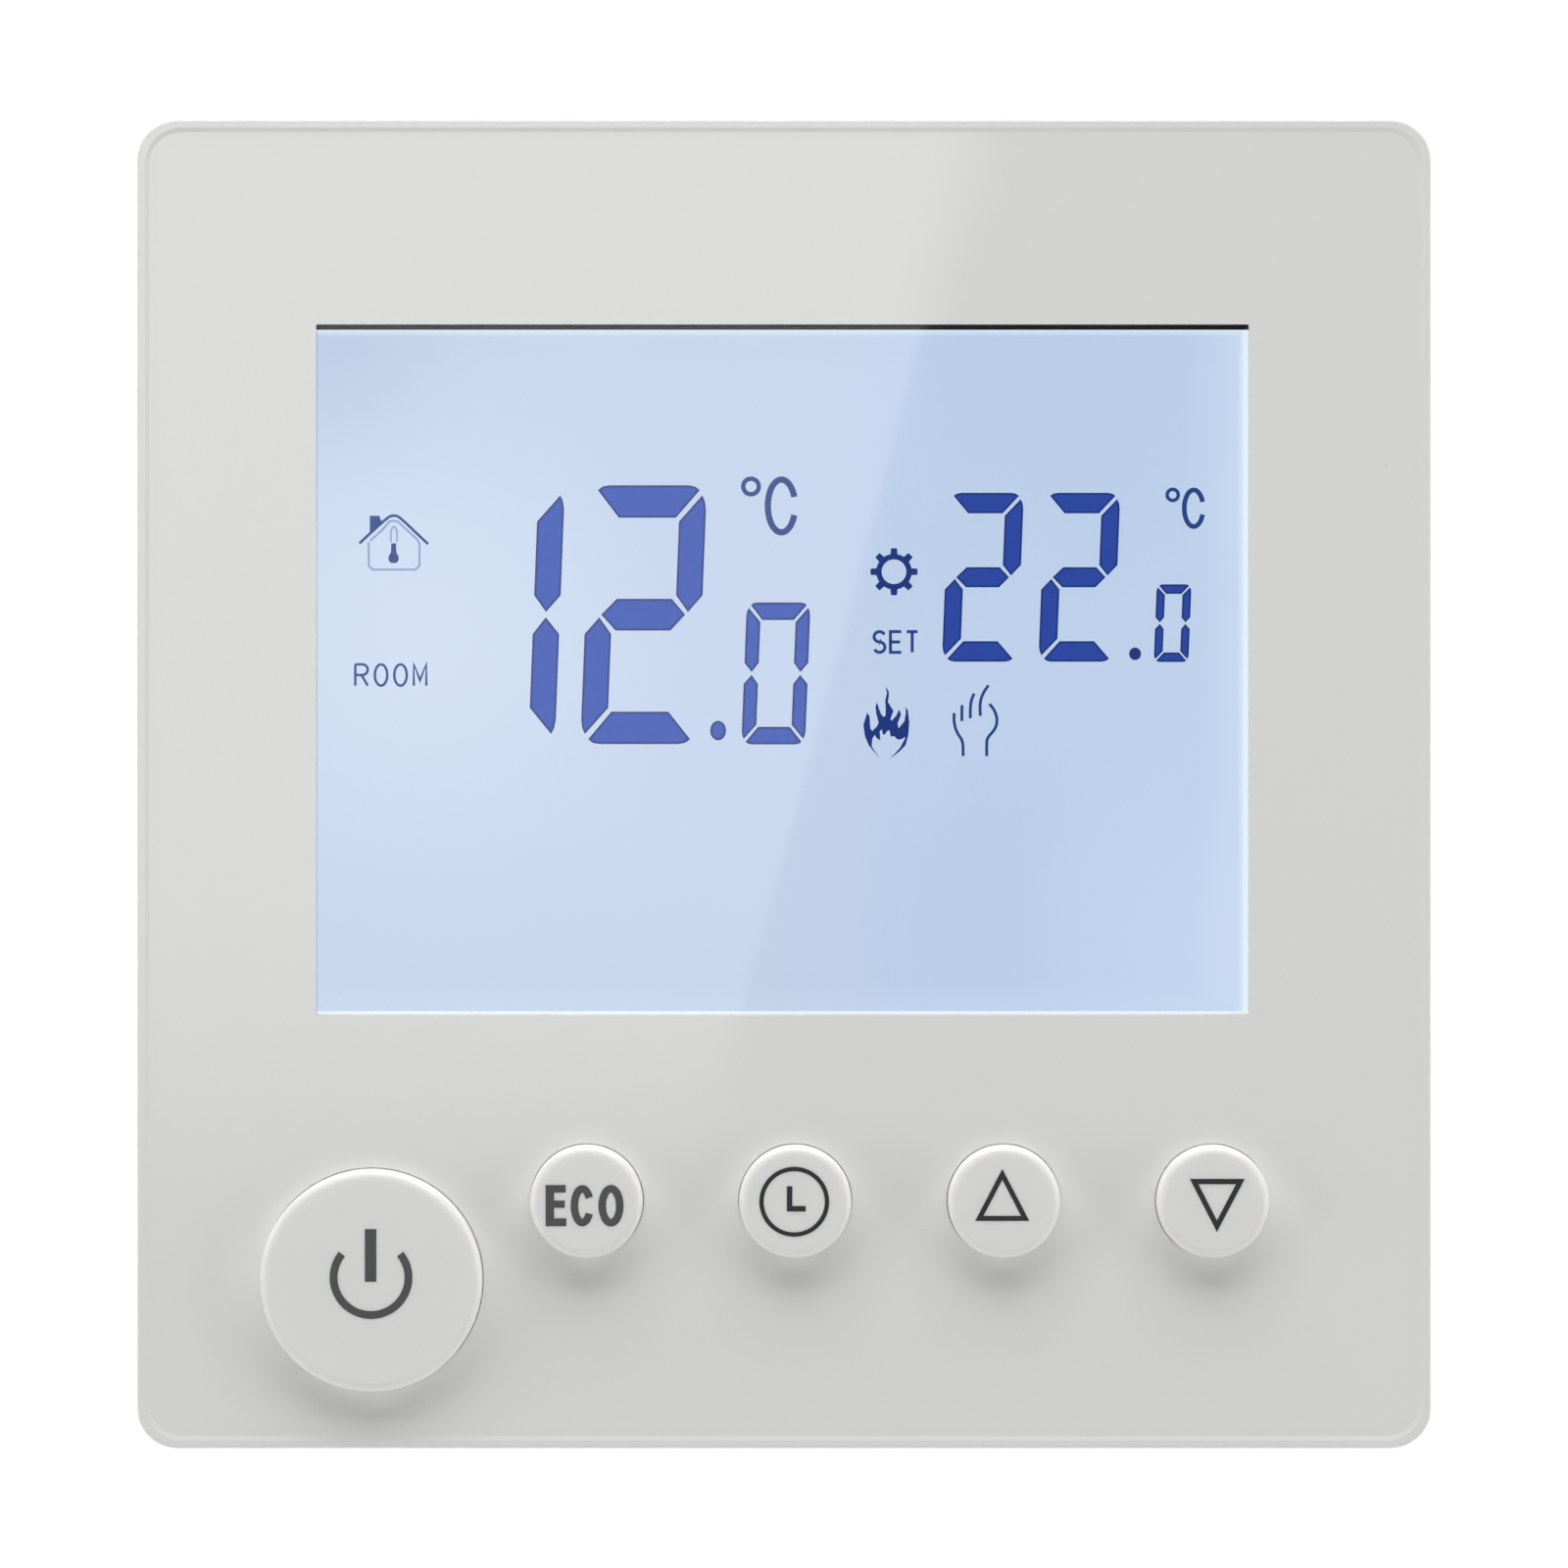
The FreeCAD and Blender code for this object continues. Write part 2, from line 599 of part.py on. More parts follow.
def make_rear_cover():
    body = part_body("rear_cover")
    add(body, "cover_sheet", "cover_rear", "cover_front",
        (rectangle, "-41.1", "41.1", "-42.3", "42.3"))
    corners = [(f"{sx} * boss_x", f"{sz} * boss_z") for sx in (-1, 1) for sz in (-1, 1)]
    add(body, "cover_posts", "cover_front - 0.2", "board_rear",
        *[(circle, x, z, "2.4") for x, z in corners])
    remove(body, "cover_holes", "cover_rear - 1", "board_rear + 1",
           *[(circle, x, z, "1.2") for x, z in corners])
    remove(body, "cover_openings", "cover_rear - 1", "cover_front + 1",
           (rectangle, "-tab_half - 1", "tab_half + 1", "40.7", "43"),
           (rectangle, "-tab_half - 1", "tab_half + 1", "-43", "-40.7"),
           (rectangle, "-screw_pitch / 2 - 8", "8 - screw_pitch / 2", "-6", "6"),
           (rectangle, "screw_pitch / 2 - 8", "screw_pitch / 2 + 8", "-6", "6"),
           (rectangle, "-11", "11", "header_z - 1.6", "header_z + 1.6"))
    remove(body, "cover_vents", "cover_rear - 1", "cover_front + 1",
           *[(rectangle, f"{i * 5 - 1}", f"{i * 5 + 1}", "24", "36") for i in range(-5, 6)])


def pan_screw(name, x, z, head, shank, head_depth, head_top, tip):
    """A pan-head screw pointing forward or back, with a cross recess in its head."""
    low, high = sorted((head_depth, head_top), key=number)
    top = rod(name + "_head", x, z, head, (low, high))
    seat, far = sorted((head_depth, tip), key=number)
    stem = rod(name + "_stem", x, z, shank, (seat, far))
    sign = 1 if number(head_top) > number(head_depth) else -1
    deep, over = sorted((f"{head_top} - {0.7 * sign}", f"{head_top} + {0.3 * sign}"), key=number)
    blades = [
        block(name + "_cross_x", (f"{x} - 1.1", f"{x} + 1.1"), (deep, over),
              (f"{z} - 0.25", f"{z} + 0.25")),
        block(name + "_cross_z", (f"{x} - 0.25", f"{x} + 0.25"), (deep, over),
              (f"{z} - 1.1", f"{z} + 1.1")),
    ]
    solid = fuse(name + "_solid", [top, stem])
    return cut(name, solid, fuse(name + "_cross", blades))


def make_cover_screws():
    screws = []
    for i, (sx, sz) in enumerate(((-1, -1), (1, -1), (1, 1), (-1, 1))):
        screws.append(pan_screw(f"cover_screw_{i}", f"{sx} * boss_x", f"{sz} * boss_z", "1.9",
                                "1.0", "-cover_rear", "-cover_rear + 1.2", "-11.0"))
    node(group("cover_screws", screws))


# ---------------------------------------------------------------- wall unit


def make_plate():
    """The steel plate, with two tabs bent forward that the front unit clips over."""
    body = part_body("mounting_plate")
    half_x, half_z = VALUE["plate_half_x"], VALUE["plate_half_z"]
    add(body, "plate_sheet", "0", "plate_front",
        (rectangle, "-plate_half_x", "plate_half_x", "-plate_half_z", "plate_half_z"))
    dress(body, "Fillet", "plate_corners", "2.0", lambda box: along_y(box, half_x, half_z))
    add(body, "clip_tabs", "plate_front - 0.2", "tab_front",
        (rectangle, "-tab_half", "tab_half", "plate_half_z - 1.2", "plate_half_z"),
        (rectangle, "-tab_half", "tab_half", "-plate_half_z", "1.2 - plate_half_z"))
    remove(body, "wall_screw_slots", "-1", "plate_front + 1",
           (slot, "-screw_pitch / 2", "slot_length", "slot_half"),
           (slot, "screw_pitch / 2", "slot_length", "slot_half"))
    remove(body, "header_opening", "-1", "plate_front + 1",
           (rectangle, "-12", "12", "header_z - 2.6", "header_z + 2.6"))
    remove(body, "box_screw_holes", "-1", "plate_front + 1",
           *[(circle, f"{sx} * box_screw_x", f"{sz} * box_screw_z", "1.5")
             for sx in (-1, 1) for sz in (-1, 1)])
    remove(body, "box_seat_recess", "-1", "box_seat",
           (octagon, "(box_half_x + 0.1)", "(box_half_z + 0.1)", "box_chamfer"))


def make_box():
    """The power box behind the plate, with a bay at the bottom for the terminal blocks."""
    body = part_body("power_box")
    rear = "-box_depth"
    floor = "box_wall - box_depth"
    inner_x, inner_z = "(box_half_x - box_wall)", "(box_half_z - box_wall)"
    inner_cut = "(box_chamfer - 0.586 * box_wall)"
    add(body, "box_block", rear, "box_seat", (octagon, "box_half_x", "box_half_z", "box_chamfer"))
    remove(body, "box_cavity", floor, "box_seat + 1", (octagon, inner_x, inner_z, inner_cut))
    add(body, "bay_walls", f"{floor} - 0.2", "-pcb_rear - 0.3",
        (rectangle, "box_wall / 2 - box_half_x", "box_half_x - box_wall / 2",
         "box_wall / 2 - box_half_z + 3", "bay_top + 1.3"))
    remove(body, "terminal_bay", f"{rear} - 1", "0.05 - pcb_rear",
           (rectangle, "-bay_half", "bay_half", "-box_half_z - 1", "bay_top"))
    corners = [(f"{sx} * box_screw_x", f"{sz} * box_screw_z") for sx in (-1, 1) for sz in (-1, 1)]
    add(body, "box_bosses", "-pcb_front", "box_seat", *[(circle, x, z, "2.6") for x, z in corners])
    remove(body, "box_boss_holes", "-pcb_front - 0.1", "box_seat + 1",
           *[(circle, x, z, "1.05") for x, z in corners])
    remove(body, "box_vents", f"{rear} - 1", f"{floor} + 0.2",
           *[(rectangle, f"{i * 5 - 1}", f"{i * 5 + 1}", "4", "17") for i in range(-3, 4)])


def make_plate_screws():
    screws = []
    for i, (sx, sz) in enumerate(((-1, -1), (1, -1), (1, 1), (-1, 1))):
        screws.append(pan_screw(f"plate_screw_{i}", f"{sx} * box_screw_x", f"{sz} * box_screw_z",
                                "2.0", "1.0", "-plate_front", "-plate_front - 1.2", "6.0"))
    node(group("plate_screws", screws))


def make_power_board():
    body = part_body("power_board")
    add(body, "power_board_sheet", "-pcb_rear", "-pcb_front",
        (octagon, "(box_half_x - box_wall - 0.3)", "(box_half_z - box_wall - 0.3)",
         "box_chamfer"))


def make_power_parts():
    """What stands on the rear of the power board, inside the box."""
    foot = "pcb_rear"
    node(block("relay", ("-22", "-6.8"), (foot, f"{foot} + 15.4"), ("-6.5", "12.5")))

    core = block("core_block", ("2.2", "20.2"), ("11", "25"), ("0", "7"))
    windows = [block(f"core_window_{i}", (x0, x1), ("14", "22"), ("-1", "8"))
               for i, (x0, x1) in enumerate((("5.2", "8.8"), ("13.6", "17.2")))]
    node(cut("transformer_core", core, fuse("core_windows", windows)))
    winding = block("coil_block", ("5.4", "17"), ("14.2", "21.8"), ("-3.4", "10.4"))
    centre = block("coil_centre", ("8.7", "13.7"), ("14", "22"), ("-0.1", "7.1"))
    feet = [block(f"coil_foot_{i}", ("5.4", "17"), (foot, "14.6"), (z0, z1))
            for i, (z0, z1) in enumerate((("-3.4", "-1.4"), ("8.4", "10.4")))]
    node(fuse("transformer_coil", [cut("coil_ring", winding, centre)] + feet))

    capacitors = [
        rod("capacitor_large", "-16", "17", "4.0", (foot, f"{foot} + 12")),
        rod("capacitor_small", "16.4", "16.6", "3.15", (foot, f"{foot} + 11")),
    ]
    node(group("electrolytic_capacitors", capacitors))
    node(block("film_capacitor", ("-4", "9"), (foot, f"{foot} + 9"), ("15.2", "20.4")))
    disc = doc.addObject("Part::Cylinder", "varistor")
    disc.Placement = Placement(Vector(), Rotation(Vector(0, 1, 0), 90))
    bind(disc, "Radius", "3.6")
    bind(disc, "Height", "2.8")
    bind(disc, "Placement.Base.x", "-3.8")
    bind(disc, "Placement.Base.y", f"{foot} + 3.7")
    bind(disc, "Placement.Base.z", "8.0")
    node(disc)
    node(rod("fuse_can", "-2.3", "-2.6", "3.8", (foot, f"{foot} + 7.6")))


def make_header():
    """Square pins from the power board into the socket, in a plastic strip."""
    reach = HEADER_PINS * VALUE["pin_pitch"] / 2
    pins = []
    for i in range(HEADER_PINS):
        x = f"{i - (HEADER_PINS - 1) / 2} * pin_pitch"
        pins.append(block(f"pin_{i}", (f"{x} - pin_half", f"{x} + pin_half"), ("-4.5", "pcb_front"),
                          ("header_z - pin_half", "header_z + pin_half")))
    node(group("header_pins", pins))
    strip = part_body("pin_strip")
    holes = []
    for i in range(HEADER_PINS):
        x = f"{i - (HEADER_PINS - 1) / 2} * pin_pitch"
        holes.append((rectangle, f"{x} - pin_half", f"{x} + pin_half", "header_z - pin_half",
                      "header_z + pin_half"))
    add(strip, "strip_block", "-pcb_front", "2.5 - pcb_front",
        (rectangle, f"{-reach}", f"{reach}", "header_z - 1.25", "header_z + 1.25"))
    remove(strip, "strip_holes", "-pcb_front - 1", "3.5 - pcb_front", *holes)


# ---------------------------------------------------------------- terminals

# One clamp: half widths of the chamber, cage, cage window, contact bar and wire entry, then the
# radii of the screw's head and shank.
MAINS_CLAMP = (2.8, 2.5, 1.6, 1.2, 1.6, 1.95, 1.45)
SENSOR_CLAMP = (2.0, 1.7, 1.1, 0.75, 1.1, 1.5, 1.0)


def poles(left, pitch, count):
    return [f"{left} + {i + 0.5} * {pitch}" for i in range(count)]


def make_terminal_block(name, left, pitch, count, clamp):
    """A rising-cage block: wires enter from below and the screws are turned from behind."""
    chamber, _, _, bar, entry, head, _ = clamp
    xs = poles(left, pitch, count)
    body = part_body(name)
    add(body, name + "_housing", "-block_rear", "-pcb_rear",
        (rectangle, left, f"{left} + {count} * {pitch}", "block_bottom", "bay_top - 0.1"))
    remove(body, name + "_entries", "-bar_front", "-bar_front + 3.6",
           *[(rectangle, f"{x} - {entry}", f"{x} + {entry}", "block_bottom - 1", "clamp_z - 3")
             for x in xs])
    remove(body, name + "_chambers", "-24.7", "-12.4",
           *[(rectangle, f"{x} - {chamber}", f"{x} + {chamber}", "clamp_z - 3.4",
              "clamp_z + 3.4") for x in xs])
    remove(body, name + "_screw_holes", "-block_rear - 1", "-24.5",
           *[(circle, x, "clamp_z", f"{head} + 0.08") for x in xs])
    remove(body, name + "_bar_slots", "-bar_rear - 0.05", "-pcb_rear + 1",
           *[(rectangle, f"{x} - {bar} - 0.05", f"{x} + {bar} + 0.05", "clamp_z + 3.3",
              "clamp_z + 5.2") for x in xs])


def make_contact_bars():
    """The fixed bar in each cage, bent forward to the power board."""
    bars = []
    sides = [("mains_left", "mains_pitch", MAINS_POLES, MAINS_CLAMP),
             ("sensor_left", "sensor_pitch", SENSOR_POLES, SENSOR_CLAMP)]
    for left, pitch, count, clamp in sides:
        for x in poles(left, pitch, count):
            i = len(bars)
            wide = (f"{x} - {clamp[3]}", f"{x} + {clamp[3]}")
            tongue = block(f"bar_tongue_{i}", wide, ("bar_front", "bar_rear"),
                           ("clamp_z - 3.4", "clamp_z + 5.1"))
            leg = block(f"bar_leg_{i}", wide, ("pcb_rear", "bar_front + 0.1"),
                        ("clamp_z + 4.1", "clamp_z + 5.1"))
            bars.append(fuse(f"bar_{i}", [tongue, leg]))
    node(group("contact_bars", bars))


def make_clamp(index, x, clamp):
    """The screw of one terminal and the cage that it lifts towards its head."""
    _, cage, window, _, _, head, shank = clamp
    top = rod(f"clamp_head_{index}", x, "clamp_z", head, ("25.0", "26.4"))
    stem = rod(f"clamp_stem_{index}", x, "clamp_z", shank, ("bar_rear + 0.15", "25.1"))
    blade = block(f"clamp_blade_{index}", (f"{x} - {head} - 1", f"{x} + {head} + 1"),
                  ("25.5", "27"), ("clamp_z - 0.35", "clamp_z + 0.35"))
    turned = fuse(f"clamp_turned_{index}", [top, stem])
    node(cut(f"terminal_screw_{index}", turned, blade))

    ring = block(f"cage_block_{index}", (f"{x} - {cage}", f"{x} + {cage}"), ("13.0", "22.0"),
                 ("clamp_z - 2.6", "clamp_z + 2.6"))
    space = block(f"cage_window_{index}", (f"{x} - {window}", f"{x} + {window}"),
                  ("14.4", "20.6"), ("clamp_z - 4", "clamp_z + 4"))
    bore = rod(f"cage_bore_{index}", x, "clamp_z", f"{shank} + 0.05", ("20.0", "23.0"))
    node(cut(f"clamp_cage_{index}", ring, fuse(f"cage_space_{index}", [space, bore])))


def make_terminals():
    make_terminal_block("mains_terminal_block", "mains_left", "mains_pitch", MAINS_POLES,
                        MAINS_CLAMP)
    make_terminal_block("sensor_terminal_block", "sensor_left", "sensor_pitch", SENSOR_POLES,
                        SENSOR_CLAMP)
    make_contact_bars()
    spots = [(x, MAINS_CLAMP) for x in poles("mains_left", "mains_pitch", MAINS_POLES)]
    spots += [(x, SENSOR_CLAMP) for x in poles("sensor_left", "sensor_pitch", SENSOR_POLES)]
    for index, (x, clamp) in enumerate(spots, start=1):
        make_clamp(index, x, clamp)


# ---------------------------------------------------------------- build


make_shell()
make_fascia()
make_lens()
make_display()
make_display_board()
make_switch_bodies()
make_board_parts()
make_socket()
make_rear_cover()
make_cover_screws()
for key_name, key_centre_x, key_centre_z, key_size in key_spots():
    make_cap(key_name, key_centre_x, key_centre_z, key_size)
    make_plunger(key_name, key_centre_x, key_centre_z)
make_plate()
make_box()
make_plate_screws()
make_power_board()
make_power_parts()
make_header()
make_terminals()
doc.recompute()

for obj in doc.Objects:
    if "Invalid" in obj.State or "Error" in obj.State:
        raise RuntimeError(f"{obj.Label} did not build: {obj.State}")
for piece in nodes:
    if piece.Shape.isNull() or not piece.Shape.isValid():
        raise RuntimeError(f"{piece.Label} has no valid shape")
os.makedirs("parts", exist_ok=True)
for piece in nodes:
    piece.Shape.exportStep(f"parts/{piece.Label}.step")
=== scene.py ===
"""Looks of the wall thermostat: materials, printed symbols, display segments and studio."""

import json
import math

import bpy
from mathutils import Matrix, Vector


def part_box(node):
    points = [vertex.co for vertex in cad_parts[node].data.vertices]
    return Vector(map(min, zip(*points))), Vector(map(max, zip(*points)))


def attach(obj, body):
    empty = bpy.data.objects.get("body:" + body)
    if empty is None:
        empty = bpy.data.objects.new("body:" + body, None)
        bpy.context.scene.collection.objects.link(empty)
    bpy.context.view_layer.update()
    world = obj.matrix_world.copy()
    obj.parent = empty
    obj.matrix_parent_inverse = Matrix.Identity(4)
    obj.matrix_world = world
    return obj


MM = 0.001
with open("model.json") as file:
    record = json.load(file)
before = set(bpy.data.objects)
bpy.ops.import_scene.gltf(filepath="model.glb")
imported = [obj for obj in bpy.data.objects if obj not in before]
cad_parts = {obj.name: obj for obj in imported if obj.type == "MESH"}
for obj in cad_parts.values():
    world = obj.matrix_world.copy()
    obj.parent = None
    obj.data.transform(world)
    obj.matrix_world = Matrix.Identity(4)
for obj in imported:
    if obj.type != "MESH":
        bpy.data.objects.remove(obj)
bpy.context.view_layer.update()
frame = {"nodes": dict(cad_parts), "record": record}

# The white of shell, fascia and buttons, and how much the clear window mirrors seen square on.
WHITE = (0.865, 0.865, 0.850)
WINDOW_MIRROR = 0.023
# How much smaller the window is made all round, so that it shares no face with what it touches.
WINDOW_SLACK = 0.02 * MM
# Height above the glass's lower edge up to which the holder's ledge is seen.
# Just below this height the holder's painted glow rises to full, and it stays full above it.
LEDGE_HEIGHT = 4.6 * MM


# ---------------------------------------------------------------- materials


class Shader:
    """A node tree round one Principled shader, with short ways to add nodes."""

    def __init__(self, name):
        self.material = bpy.data.materials.new(name)
        self.material.use_nodes = True
        self.tree = self.material.node_tree
        self.tree.nodes.clear()
        self.out = self.node("ShaderNodeOutputMaterial")
        self.principled = self.node("ShaderNodeBsdfPrincipled")
        self.link(self.principled.outputs[0], self.out.inputs["Surface"])
        self.place = self.node("ShaderNodeTexCoord").outputs["Object"]

    def node(self, kind, **values):
        """A new node; each value sets its attribute or, with _ for a space, its input."""
        made = self.tree.nodes.new(kind)
        for key, value in values.items():
            if hasattr(made, key):
                setattr(made, key, value)
            else:
                made.inputs[key.replace("_", " ")].default_value = value
        return made

    def link(self, source, target):
        self.tree.links.new(source, target)

    def set(self, **values):
        for key, value in values.items():
            self.principled.inputs[key.replace("_", " ")].default_value = value

    def noise(self, size, detail=3.0, rough=0.55, stretch=None):
        """Noise whose lumps are about size metres across."""
        where = self.place
        if stretch:
            scaled = self.node("ShaderNodeVectorMath", operation="MULTIPLY")
            scaled.inputs[1].default_value = stretch
            self.link(where, scaled.inputs[0])
            where = scaled.outputs[0]
        made = self.node("ShaderNodeTexNoise", Scale=1 / size, Detail=detail, Roughness=rough)
        self.link(where, made.inputs["Vector"])
        return made.outputs["Fac"]

    def span(self, value, low, high, new_low, new_high, smooth=False):
        """The value carried from one range to another and held at its ends."""
        made = self.node("ShaderNodeMapRange")
        made.interpolation_type = "SMOOTHSTEP" if smooth else "LINEAR"
        for socket, number in zip(("From Min", "From Max", "To Min", "To Max"),
                                  (low, high, new_low, new_high)):
            made.inputs[socket].default_value = number
        self.link(value, made.inputs["Value"])
        return made.outputs[0]

    def mix(self, share, first, second):
        """A colour between two; each may be a socket or an (r, g, b)."""
        made = self.node("ShaderNodeMix", data_type="RGBA")
        a = [s for s in made.inputs if s.name == "A" and s.type == "RGBA"][0]
        b = [s for s in made.inputs if s.name == "B" and s.type == "RGBA"][0]
        for socket, colour in ((a, first), (b, second)):
            if isinstance(colour, tuple):
                socket.default_value = (*colour, 1)
            else:
                self.link(colour, socket)
        factor = [s for s in made.inputs if s.name == "Factor" and s.type == "VALUE"][0]
        if isinstance(share, float):
            factor.default_value = share
        else:
            self.link(share, factor)
        return [s for s in made.outputs if s.type == "RGBA"][0]

    def math(self, operation, first, second):
        made = self.node("ShaderNodeMath", operation=operation)
        for socket, value in zip(made.inputs, (first, second)):
            if isinstance(value, (int, float)):
                socket.default_value = value
            else:
                self.link(value, socket)
        return made.outputs[0]

    def bump(self, height, strength, distance):
        made = self.node("ShaderNodeBump", Strength=strength, Distance=distance)
        self.link(height, made.inputs["Height"])
        self.link(made.outputs[0], self.principled.inputs["Normal"])


def moulded(name, colour, rough, grain=0.00035, depth=0.000004, vary=0.02, wear=0.06):
    """Moulded plastic: faint mottling, fine grain and a roughness that wanders."""
    s = Shader(name)
    broad = s.noise(0.012, 2.0)
    fine = s.noise(grain, 3.0, 0.6)
    dark = tuple(c * (1 - vary) for c in colour)
    light = tuple(min(c * (1 + vary), 1) for c in colour)
    s.link(s.mix(s.span(broad, 0.35, 0.65, 0.0, 1.0), dark, light),
           s.principled.inputs["Base Color"])
    s.link(s.span(s.noise(0.004, 4.0), 0.3, 0.7, rough - wear / 2, rough + wear / 2),
           s.principled.inputs["Roughness"])
    s.bump(fine, 0.35, depth)
    s.set(IOR=1.49)
    return s.material


def metal(name, colour, rough, brush=None, vary=0.12, depth=0.000006):
    """Metal sheet or plating with fine scratches along one way and dull patches."""
    s = Shader(name)
    lines = s.noise(0.0012, 4.0, 0.7, brush or (1, 1, 1))
    patches = s.noise(0.006, 3.0)
    dark = tuple(c * (1 - vary) for c in colour)
    s.link(s.mix(s.span(patches, 0.3, 0.7, 0.0, 1.0), dark, colour),
           s.principled.inputs["Base Color"])
    s.link(s.span(lines, 0.25, 0.75, rough - 0.08, rough + 0.12),
           s.principled.inputs["Roughness"])
    s.bump(lines, 0.5, depth)
    s.set(Metallic=1.0)
    return s.material


def spangled(name, colour):
    """Hot-dip galvanised sheet: crystals of slightly different brightness."""
    s = Shader(name)
    cells = s.node("ShaderNodeTexVoronoi", Scale=300.0, Randomness=1.0)
    s.link(s.place, cells.inputs["Vector"])
    tint = s.node("ShaderNodeSeparateColor")
    s.link(cells.outputs["Color"], tint.inputs[0])
    dark = tuple(c * 0.84 for c in colour)
    s.link(s.mix(tint.outputs[0], dark, colour), s.principled.inputs["Base Color"])
    s.link(s.span(tint.outputs[1], 0.0, 1.0, 0.32, 0.48), s.principled.inputs["Roughness"])
    s.bump(s.noise(0.0006, 4.0), 0.3, 0.000008)
    s.set(Metallic=1.0)
    return s.material


def laminated(name):
    """Stacked iron laminations with varnish over them."""
    s = Shader(name)
    bands = s.node("ShaderNodeTexWave", wave_type="BANDS", bands_direction="Z", Scale=320.0,
                   Distortion=0.6)
    s.link(s.place, bands.inputs["Vector"])
    s.link(s.mix(bands.outputs["Fac"], (0.05, 0.05, 0.055), (0.14, 0.14, 0.15)),
           s.principled.inputs["Base Color"])
    s.link(s.span(s.noise(0.002), 0.3, 0.7, 0.3, 0.6), s.principled.inputs["Roughness"])
    s.bump(bands.outputs["Fac"], 0.5, 0.00003)
    s.set(Metallic=0.6)
    return s.material


def circuit(name):
    """Green solder mask over copper tracks."""
    s = Shader(name)
    tracks = s.node("ShaderNodeTexBrick", Scale=140.0)
    tracks.inputs["Mortar Size"].default_value = 0.12
    turned = s.node("ShaderNodeMapping")
    turned.inputs["Rotation"].default_value = (math.pi / 2, 0, 0)
    s.link(s.place, turned.inputs["Vector"])
    s.link(turned.outputs[0], tracks.inputs["Vector"])
    s.link(s.mix(tracks.outputs["Fac"], (0.010, 0.085, 0.035), (0.020, 0.14, 0.055)),
           s.principled.inputs["Base Color"])
    s.link(s.span(s.noise(0.0015), 0.3, 0.7, 0.22, 0.4), s.principled.inputs["Roughness"])
    s.bump(tracks.outputs["Fac"], 0.4, 0.00002)
    return s.material


def glossy_white(name, colour, rough):
    """Polished white: an even colour, faint flow marks and a few specks of dust."""
    s = Shader(name)
    broad = s.noise(0.03, 2.0)
    tone = s.mix(s.span(broad, 0.3, 0.7, 0.0, 1.0), tuple(c * 0.992 for c in colour), colour)
    specks = s.node("ShaderNodeTexVoronoi", Scale=150.0, Randomness=1.0)
    s.link(s.place, specks.inputs["Vector"])
    spot = s.span(specks.outputs["Distance"], 0.012, 0.03, 0.25, 0.0, True)
    rare = s.span(s.noise(0.011, 0.0), 0.66, 0.70, 0.0, 1.0)
    s.link(s.mix(s.math("MULTIPLY", spot, rare), tone, (0.35, 0.34, 0.32)),
           s.principled.inputs["Base Color"])
    s.link(s.span(s.noise(0.006, 4.0), 0.3, 0.7, rough - 0.008, rough + 0.012),
           s.principled.inputs["Roughness"])
    s.bump(s.noise(0.0016, 2.0), 0.05, 0.000002)
    s.set(IOR=1.49)
    return s.material


def translucent(material, depth=0.0006):
    """Lets light bleed a little way through the surface, as in thin white plastic."""
    shader = material.node_tree.nodes["Principled BSDF"]
    shader.inputs["Subsurface Weight"].default_value = 0.5
    shader.inputs["Subsurface Scale"].default_value = depth
    shader.inputs["Subsurface Radius"].default_value = (1.0, 0.95, 0.90)
    return material


def window_material():
    """Clear plastic: straight-through light with a mirror layer that grows at grazing angles."""
    s = Shader("clear_window")
    s.tree.nodes.remove(s.principled)
    clear = s.node("ShaderNodeBsdfTransparent")
    clear.inputs[0].default_value = (0.985, 0.99, 0.99, 1)
    mirror = s.node("ShaderNodeBsdfGlossy")
    s.link(s.span(s.noise(0.006, 3.0), 0.3, 0.7, 0.015, 0.03), mirror.inputs["Roughness"])
    facing = s.node("ShaderNodeLayerWeight", Blend=0.5).outputs["Facing"]
    share = s.span(s.math("POWER", facing, 5.0), 0.0, 1.0, WINDOW_MIRROR, 1.0)
    blend = s.node("ShaderNodeMixShader")
    s.link(share, blend.inputs[0])
    s.link(clear.outputs[0], blend.inputs[1])
    s.link(mirror.outputs[0], blend.inputs[2])
    s.link(blend.outputs[0], s.out.inputs["Surface"])
    return s.material


